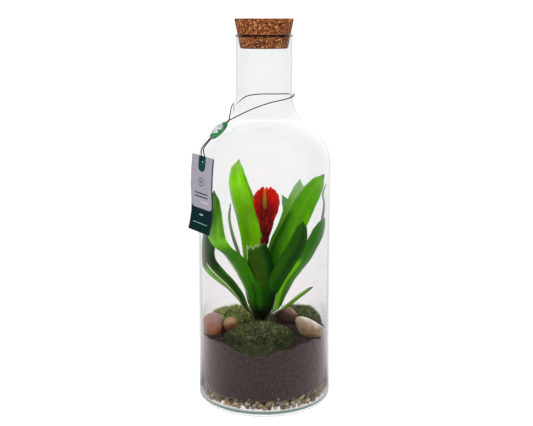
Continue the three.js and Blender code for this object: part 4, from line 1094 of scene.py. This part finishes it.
def pebble(at, size, turn, lobes, taper, tones, heart):
    """A round stone with the lobes and the taper of its own, flattened where the glass holds it."""
    stone = primitive(bpy.ops.mesh.primitive_ico_sphere_add, subdivisions=6, radius=1)
    broad, fine, phase = lobes
    about_x, about_y, about_z = (Matrix.Rotation(turn[k], 3, "XYZ"[k]) for k in range(3))
    spin = about_z @ about_y @ about_x
    body, middle, top_light_tone = (hue(code) for code in tones)
    for point, spot in zip(stone.data.vertices, tone_layer(stone.data)):
        x, y, z = point.co
        swell = 1 + broad * math.sin(2.1 * x + phase) * math.cos(1.7 * z + phase)
        swell += fine * math.sin(3.3 * y - 2.4 * x)
        wide = swell * (1 + taper * z)
        way = spin @ Vector((x * size[0] * wide, y * size[1] * wide, z * size[2] * swell))
        place = way + Vector(at)
        place += way.normalized() * 0.00012 * noise.noise(place * 900)
        cloud = 0.35 * noise.noise(place * 90)
        tone = mix(body, middle, smooth_step(1.25 - (point.co - Vector(heart)).length + cloud))
        # Painted top light: the stone turns paler towards its top.
        spot.color = (*mix(tone, top_light_tone, smooth_step((z - 0.45 + cloud) / 0.6)), 1)
        point.co = held_in(place, PEBBLE_REACH)
    bpy.ops.object.shade_smooth()
    return stone


river_stone = new_finish("polished river stone", Roughness=0.4)
clouds = grain(river_stone, 160, 5.0, Roughness=0.6)
mottle(river_stone, clouds, (0.3, (0.72, 0.68, 0.66)), (0.7, (1.2, 1.18, 1.16)))
relief(river_stone, grain(river_stone, 1100), 0.15, 0.0003)
for name, look in PEBBLES.items():
    dress(pebble(**look), "river_" + name, river_stone, "pebble", name)

# Cork: a tapered stopper pressed from cork granules and glue, turned to shape, with chipped edges and open
# pits. It is wedged in the mouth of the bottle.
CORK_TOP_RADIUS, CORK_FOOT_RADIUS, CORK_HEIGHT, CORK_ABOVE_RIM = 0.0344, 0.0279, 0.034, 0.018
CORK_BEVEL = 0.001
CORK_ROWS = 24, 46, 40  # on its foot, its side and its top
PIT_DEPTH = 0.0008
GRANULES, WARP = 640, 0.0012  # cells to the metre, and how far their outlines stray
cork_top = GLASS_TOP + CORK_ABOVE_RIM
cork_foot = cork_top - CORK_HEIGHT
foot_rows, side_rows, top_rows = (np.linspace(0, 1, count + 1) for count in CORK_ROWS)
side_foot, side_top = (CORK_FOOT_RADIUS, cork_foot + CORK_BEVEL), (CORK_TOP_RADIUS, cork_top - CORK_BEVEL)
cork = turned([
    *(((CORK_FOOT_RADIUS - CORK_BEVEL) * part, cork_foot) for part in foot_rows),
    *(mix(side_foot, side_top, part) for part in side_rows),
    *(((CORK_TOP_RADIUS - CORK_BEVEL) * (1 - part), cork_top) for part in top_rows),
], 240)
for point in cork.data.vertices:
    radius = math.hypot(point.co.x, point.co.y)
    pit = max(0, noise.noise(point.co * 560) - 0.22) * 1.5 + max(0, noise.noise(point.co * 1150) - 0.25) * 0.7
    if radius < CORK_FOOT_RADIUS - CORK_BEVEL - 1e-6 or point.co.z > cork_top - 1e-6:
        point.co.z -= math.copysign(PIT_DEPTH * pit, point.co.z - GLASS_TOP)
    else:
        inward = 1 - (PIT_DEPTH * pit + 0.0001) / radius
        point.co.x, point.co.y = point.co.x * inward, point.co.y * inward
agglomerate = new_finish("pressed cork granules", Roughness=0.82)
spot = own_place(agglomerate)
warp = wire(agglomerate, "TexNoise", {"Vector": spot, "Scale": 500}).outputs["Color"]
bent = wire(agglomerate, "VectorMath", {0: warp, 1: (WARP,) * 3}, operation="MULTIPLY").outputs[0]
moved = wire(agglomerate, "VectorMath", {0: spot, 1: bent}, operation="ADD").outputs[0]
cells = {"Vector": moved, "Scale": GRANULES}
granules = wire(agglomerate, "TexVoronoi", cells).outputs["Color"]
seams = wire(agglomerate, "TexVoronoi", cells, feature="DISTANCE_TO_EDGE").outputs["Distance"]
browns = (0, "2c1206"), (0.3, "5c2a10"), (0.45, "8e4a1e"), (0.7, "a4602e"), (1, "f0b878")
pressed = ramp(agglomerate, granules, *browns)
pressed = shaded(agglomerate, pressed, seams, (0, (0.42, 0.36, 0.32)), (0.12, (1, 1, 1)))
# Painted shade: where the fine noise is low the cork is sunk by the bump and painted nearly black, the shade
# inside small pits.
fine = grain(agglomerate, 1300, 3.0)
pit_shaded = shaded(agglomerate, pressed, fine, (0.4, (0.2, 0.13, 0.1)), (0.5, (1.1, 1.06, 1.0)))
feed(agglomerate, "Base Color", pit_shaded)
relief(agglomerate, fine, 0.6, 0.0004)
dress(cork, "cork_bung", agglomerate, "cork", "cork_stopper")

# Bead: an oval green plastic seal, moulded in one piece, with a mottled silver face on its front. It is
# clamped on the ends of the cord and lies on the bottle's shoulder.
UP = Vector((0, 0, 1))
BEAD_AT = Vector((-0.0513, -0.0434, 0.3334))
BEAD_AXIS = Vector((16.7, 8, 15.9)).normalized()
BEAD_HALF = Vector((0.006, 0.0046, 0.012))  # across, thick, long
BEAD_BLUNT = 0.86  # part of the oval that is left once its ends are cut flat
BEAD_TILT = 1.2  # how much its flat side looks up
BEAD_ROWS = 28
FACE_HALF, FACE_OUT, FACE_EMBOSS = (0.0054, 0.0043, 0.0100), 0.0013, 0.00022
bead_out = Vector((BEAD_AT.x, BEAD_AT.y, 0)).normalized() + UP * BEAD_TILT
bead_thick = (bead_out - BEAD_AXIS * bead_out.dot(BEAD_AXIS)).normalized()
bead_turn = Matrix((bead_thick.cross(BEAD_AXIS), bead_thick, BEAD_AXIS)).transposed()
heights = [2 * i / BEAD_ROWS - 1 for i in range(BEAD_ROWS + 1)]
side = [(math.sqrt(1 - (BEAD_BLUNT * height) ** 2), height) for height in heights]
bead = turned([(0, -1), *side, (0, 1)], 56)
for point in bead.data.vertices:
    point.co = BEAD_AT + bead_turn @ Vector(p * h for p, h in zip(point.co, BEAD_HALF))
bpy.ops.object.shade_smooth_by_angle(angle=math.radians(40))
green_plastic = new_finish("green plastic", Roughness=0.28)
swirl = ramp(green_plastic, grain(green_plastic, 260), (0.3, "1c5a38"), (0.75, "4a8f60"))
feed(green_plastic, "Base Color", swirl)
dress(bead, "cord_seal", green_plastic, "bead_plastic", "cord_bead")
bead_face = primitive(bpy.ops.mesh.primitive_uv_sphere_add, segments=64, ring_count=40, radius=1)
for point in bead_face.data.vertices:
    x, y, z = point.co
    emboss = FACE_EMBOSS * noise.noise(Vector((x * 4.6, 5.0, z * 8))) if y > 0 else 0
    local = Vector((x * FACE_HALF[0], y * FACE_HALF[1] + FACE_OUT + emboss, z * FACE_HALF[2]))
    point.co = BEAD_AT + bead_turn @ local
bpy.ops.object.shade_smooth()
silver_print = new_finish("silvered plastic", Roughness=0.45)
cells = {"Vector": own_place(silver_print), "Scale": 900}
mottles = wire(silver_print, "TexVoronoi", cells).outputs["Distance"]
feed(silver_print, "Base Color", ramp(silver_print, mottles, (0.25, "fafcfc"), (0.6, "64746e")))
relief(silver_print, mottles, 0.5, 0.0003)
dress(bead_face, "seal_face", silver_print, "bead_plastic")

# Tag: a stiff card, printed grey above a dark green band, with a green tab round its punched hole, a ring
# and plain rules. It hangs on its loop of cord and bows a little round the glass.
TAG_HEIGHT = 0.089
TAG_FACE = Vector((math.cos(math.radians(221.5)), math.sin(math.radians(221.5)), 0))
TAG_TOP, TAG_SIDE, TAG_ROLL = 0.3045, -0.0104, math.radians(4.7)
# Millimetres on the card: how far its middle is across and down, its half sizes and its corner.
GREY_FIELD, HOLE_TAB, RIGHT_EDGE = (0, 18, 19.6, 43.5, 6.5), (0, 4, 6.3, 13.8, 6.2), (19.25, 44.5, 0.35, 60)
RING_DOWN, RING_RADII = 30, (5.0, 4.0, 1.5)
# a rule's middle across and down, its half sizes and its ink
RULES = [
    (0, 43.5, 12, 0.8, "2a3a40"), (0, 47.5, 12, 0.8, "2a3a40"), (6, 53.5, 7, 0.35, "d8d0c4"),
    (0, 69, 3, 0.5, "c9d6d2"), (0, 79, 13, 0.3, "8fb0aa"),
]
tag_level = UP.cross(TAG_FACE)
tag_swing = Matrix.Rotation(-TAG_ROLL, 3, TAG_FACE)
tag_down, tag_across = tag_swing @ -UP, tag_swing @ tag_level
tag_top = UP * TAG_TOP + tag_level * TAG_SIDE


def card_scale(direction):
    """Distance on the card from the middle of its top edge, in millimetres, along a direction."""
    spot = own_place(card)
    along = wire(card, "VectorMath", {0: spot, 1: direction}, operation="DOT_PRODUCT").outputs["Value"]
    return sums(card, "MULTIPLY_ADD", along, 1000.0, -1000.0 * direction.dot(tag_top))


def panel(middle_u, middle_v, half_u, half_v, corner=0.0):
    """1 inside a printed panel with round corners, 0 outside."""
    squares = []
    for scale, middle, half in ((card_u, middle_u, half_u), (card_v, middle_v, half_v)):
        off = sums(card, "ABSOLUTE", sums(card, "SUBTRACT", scale, middle))
        past = sums(card, "MAXIMUM", sums(card, "SUBTRACT", off, half - corner), 0.0)
        squares.append(sums(card, "POWER", past, 2.0))
    return sums(card, "LESS_THAN", sums(card, "SQRT", sums(card, "ADD", *squares)), max(corner, 0.01))


card = new_finish("printed card", Roughness=0.6, Specular_IOR_Level=0.1)
card_u, card_v = card_scale(tag_across), card_scale(tag_down)
paper = grain(card, 700, 4.0)
green, grey = ramp(card, paper, (0, "001c1c"), (1, "022828")), ramp(card, paper, (0, "838089"), (1, "9996a0"))
field = laid_over(card, green, panel(*GREY_FIELD), grey)
field = laid_over(card, field, panel(*HOLE_TAB), opaque("0a3c34"))
rings = [panel(0, RING_DOWN, radius, radius, radius) for radius in RING_RADII]
ring = sums(card, "ADD", sums(card, "SUBTRACT", rings[0], rings[1]), rings[2])
field = laid_over(card, field, ring, opaque("1f4a4a"))
for *place, ink in RULES:
    field = laid_over(card, field, panel(*place), opaque(ink))
field = laid_over(card, field, panel(*RIGHT_EDGE), opaque("2b3034"))
feed(card, "Base Color", field)
relief(card, paper, 0.15, 0.0002)
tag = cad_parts["hang_tag"]
coat(tag, card)

# Cord: black round elastic, one millimetre or so thick, with a braided cover. One loop lies round the neck
# and one runs through the tag's hole, and the bead grips the ends of both.
CORD_RADIUS = 0.0006
CORD_SPREAD = 0.0013  # from the bead's middle line to each strand
STRAIGHT = 0.002  # a strand leaves the bead straight
# azimuth in degrees and height of the stretch that lies on the glass
NECK_STRETCH = [
    (180, 0.3581), (155, 0.3615), (128, 0.367), (100, 0.3686), (70, 0.3689), (40, 0.3698),
    (8, 0.3706), (338, 0.3688), (308, 0.3668), (280, 0.3638), (254, 0.3582), (241, 0.3543),
]
# part of the tag's height from its top, and how far the card's middle is from the bottle's axis
TAG_BOW = [
    (0, 0.0833), (0.2, 0.0841), (0.4, 0.084), (0.6, 0.0824), (0.72, 0.0816), (0.86, 0.0826), (1, 0.0854),
]
HOLE_LOW = 0.0079  # lowest place of the cord in the hole, down from the tag's top
TURN = 0.0026  # half the width of the bow in which the loop turns through the hole


def glass_radius(z):
    """Outside radius of the bottle at a height."""
    if z >= NECK_FOOT:
        return NECK_RADIUS
    below = NECK_FOOT - z
    if below < NECK_ARC * math.sin(SWEEP):
        return NECK_RADIUS + NECK_ARC - math.sqrt(NECK_ARC**2 - below**2)
    return BODY_RADIUS - BODY_ARC + math.sqrt(BODY_ARC**2 - (z - BODY_TOP) ** 2)


def on_glass(azimuth, z):
    """A place of the cord where it lies on the glass."""
    return round_axis(glass_radius(z) + CORD_RADIUS + 2 * CLEAR, math.radians(azimuth), z)


def tag_point(across, down, out):
    """A point of the card: sideways from its middle line, down from its top, out from its middle sheet."""
    bow = keyed(TAG_BOW, down / TAG_HEIGHT)
    return tag_top + tag_across * across + tag_down * down + TAG_FACE * (bow + out)


def bead_end(end, side, out=0.0):
    """A place of a strand at an end of the bead, or further out."""
    return BEAD_AT + bead_turn @ Vector((side * CORD_SPREAD, 0, end * (BEAD_HALF.z + CLEAR + out)))


braid = new_finish("black elastic braid", Base_Color=opaque("0c0a0b"), Roughness=0.6, Specular_IOR_Level=0.2)
relief(braid, grain(braid, 2600), 0.5, 0.0002)
neck_loop = [
    bead_end(1, -1), bead_end(1, -1, STRAIGHT), *(on_glass(*spot) for spot in NECK_STRETCH),
    bead_end(1, 1, STRAIGHT), bead_end(1, 1),
]
tag_loop = [
    bead_end(-1, 1), bead_end(-1, 1, STRAIGHT),
    tag_point(0.0009, -0.008, 0.0034), tag_point(0.0005, 0.001, TURN),
    tag_point(0.0002, HOLE_LOW - TURN, TURN), tag_point(0, HOLE_LOW, 0),
    tag_point(-0.0002, HOLE_LOW - TURN, -TURN), tag_point(-0.0005, 0.001, -TURN),
    tag_point(-0.0009, -0.008, -0.001),
    bead_end(-1, -1, STRAIGHT), bead_end(-1, -1),
]
for name, route, carried in (("neck", neck_loop, [bead, bead_face]), ("tag", tag_loop, [tag])):
    line = even_line(smooth_line(route, 24), 160 if name == "neck" else 90)
    loop = tube(line, CORD_RADIUS, 12)
    dress(loop, f"elastic_{name}_loop", braid, "elastic_cord", f"cord_{name}_loop")

# Studio: a pale table in a white tent. The tent is bright behind and above the bottle and dim behind the
# camera, with soft lamps at the front, so that the glass shows few reflections there.
MIRROR_FRONT, MIRROR_BACK, MIRROR_NEAR, MIRROR_FOOT = 0.02, 1.15, 1.15, 0.5


def ray_switch(material, straight, mirrored, scattered, last_bounce=0.5):
    """A number by how a ray comes: straight or through glass, by a mirror image, or as light on things."""
    rays = wire(material, "LightPath", {}).outputs
    bounces = sums(material, "SUBTRACT", rays["Ray Depth"], rays["Transmission Depth"])
    turned_back = sums(material, "GREATER_THAN", bounces, last_bounce)
    through = sums(material, "MAXIMUM", rays["Is Camera Ray"], rays["Is Transmission Ray"])
    seen = sums(material, "GREATER_THAN", through, turned_back)
    by_mirror = sums(material, "MAXIMUM", rays["Is Glossy Ray"], rays["Is Transmission Ray"])
    bounced = wire(material, "Mix", {0: by_mirror, 2: scattered, 3: mirrored}, data_type="FLOAT").outputs[0]
    return wire(material, "Mix", {0: seen, 2: bounced, 3: straight}, data_type="FLOAT").outputs[0]


def tent_depth(material, depth, front, back, start, end):
    """Brightness of the tent from behind the camera, front, to behind the bottle, back."""
    span = {"Value": depth, "From Min": start, "From Max": end, "To Min": front, "To Max": back}
    return wire(material, "MapRange", span, interpolation_type="SMOOTHSTEP").outputs[0]


table = primitive(bpy.ops.mesh.primitive_plane_add, size=240, location=(0, 0, -0.0003))
table.name = "table_top"
white = (1, 1, 1, 1)
table_paper = new_finish("white table paper", Roughness=1.0, Specular_IOR_Level=0.0, Emission_Color=white)
spot = own_place(table_paper)
level_way = wire(table_paper, "VectorMath", {0: spot}, operation="NORMALIZE").outputs[0]
far = wire(table_paper, "VectorMath", {0: spot}, operation="LENGTH").outputs["Value"]
way = wire(table_paper, "SeparateXYZ", {"Vector": level_way}).outputs["Y"]
glow = tent_depth(table_paper, far, MIRROR_NEAR, MIRROR_BACK, 0.4, 1.1)
open_table = tent_depth(table_paper, way, MIRROR_FRONT, glow, -0.1, 0.9)
foot_glow = tent_depth(table_paper, far, MIRROR_FOOT, 0.0, 0.1, 0.14)
mirrored = sums(table_paper, "MAXIMUM", open_table, foot_glow)
feed(table_paper, "Base Color", ray_switch(table_paper, 0.02, 0.0, 0.85))
feed(table_paper, "Emission Strength", ray_switch(table_paper, 1.06, mirrored, 0.0))
coat(table, table_paper)

world = bpy.data.worlds.new("white tent")
bpy.context.scene.world = world
world.use_nodes = True
backdrop = world.node_tree.nodes["Background"]
backdrop.inputs["Color"].default_value = white
directions = wire(world, "TexCoord", {}).outputs["Generated"]
parts = wire(world, "SeparateXYZ", {"Vector": directions}).outputs
mirrored = sums(
    world, "ADD", tent_depth(world, parts["Z"], 0.0, 0.1, 0.35, 0.9),
    tent_depth(world, parts["Y"], MIRROR_FRONT, MIRROR_BACK, -0.1, 0.9),
)
# a ray that leaves the scene counts one bounce more than one that ends on a thing
tent = ray_switch(world, 1.16, mirrored, tent_depth(world, parts["Y"], 0.22, 0.95, -0.5, 0.35), 1.5)
world.node_tree.links.new(tent, backdrop.inputs["Strength"])
bpy.context.scene.view_settings.view_transform = "Standard"


def soft_lamp(name, place, size, power):
    """A soft rectangular lamp that points at the plant and doesn't show in mirror images."""
    lamp = bpy.data.lights.new(name, "AREA")
    lamp.shape = "RECTANGLE"
    lamp.size, lamp.size_y = size
    lamp.energy = power
    holder = set_in_scene(name, lamp)
    holder.location = place
    holder.rotation_euler = (Vector((0, 0, 0.2)) - Vector(place)).to_track_quat("-Z", "Y").to_euler()
    holder.visible_glossy = False


soft_lamp("key_lamp", (-1.1, -1.3, 1.5), (0.9, 1.2), 34)
soft_lamp("fill_lamp", (1.4, -1.0, 0.9), (0.6, 1.2), 14)
soft_lamp("top_lamp", (0.2, 0.6, 1.8), (1.2, 0.8), 15)

camera = set_in_scene("camera", bpy.data.cameras.new("camera"))
bpy.context.scene.camera = camera
camera.location = (0.0028, -1.13, 0.458)
camera.rotation_euler = (math.radians(90 - 11.45), 0, 0)
camera.data.lens = 64.9
camera.data.clip_end = 400
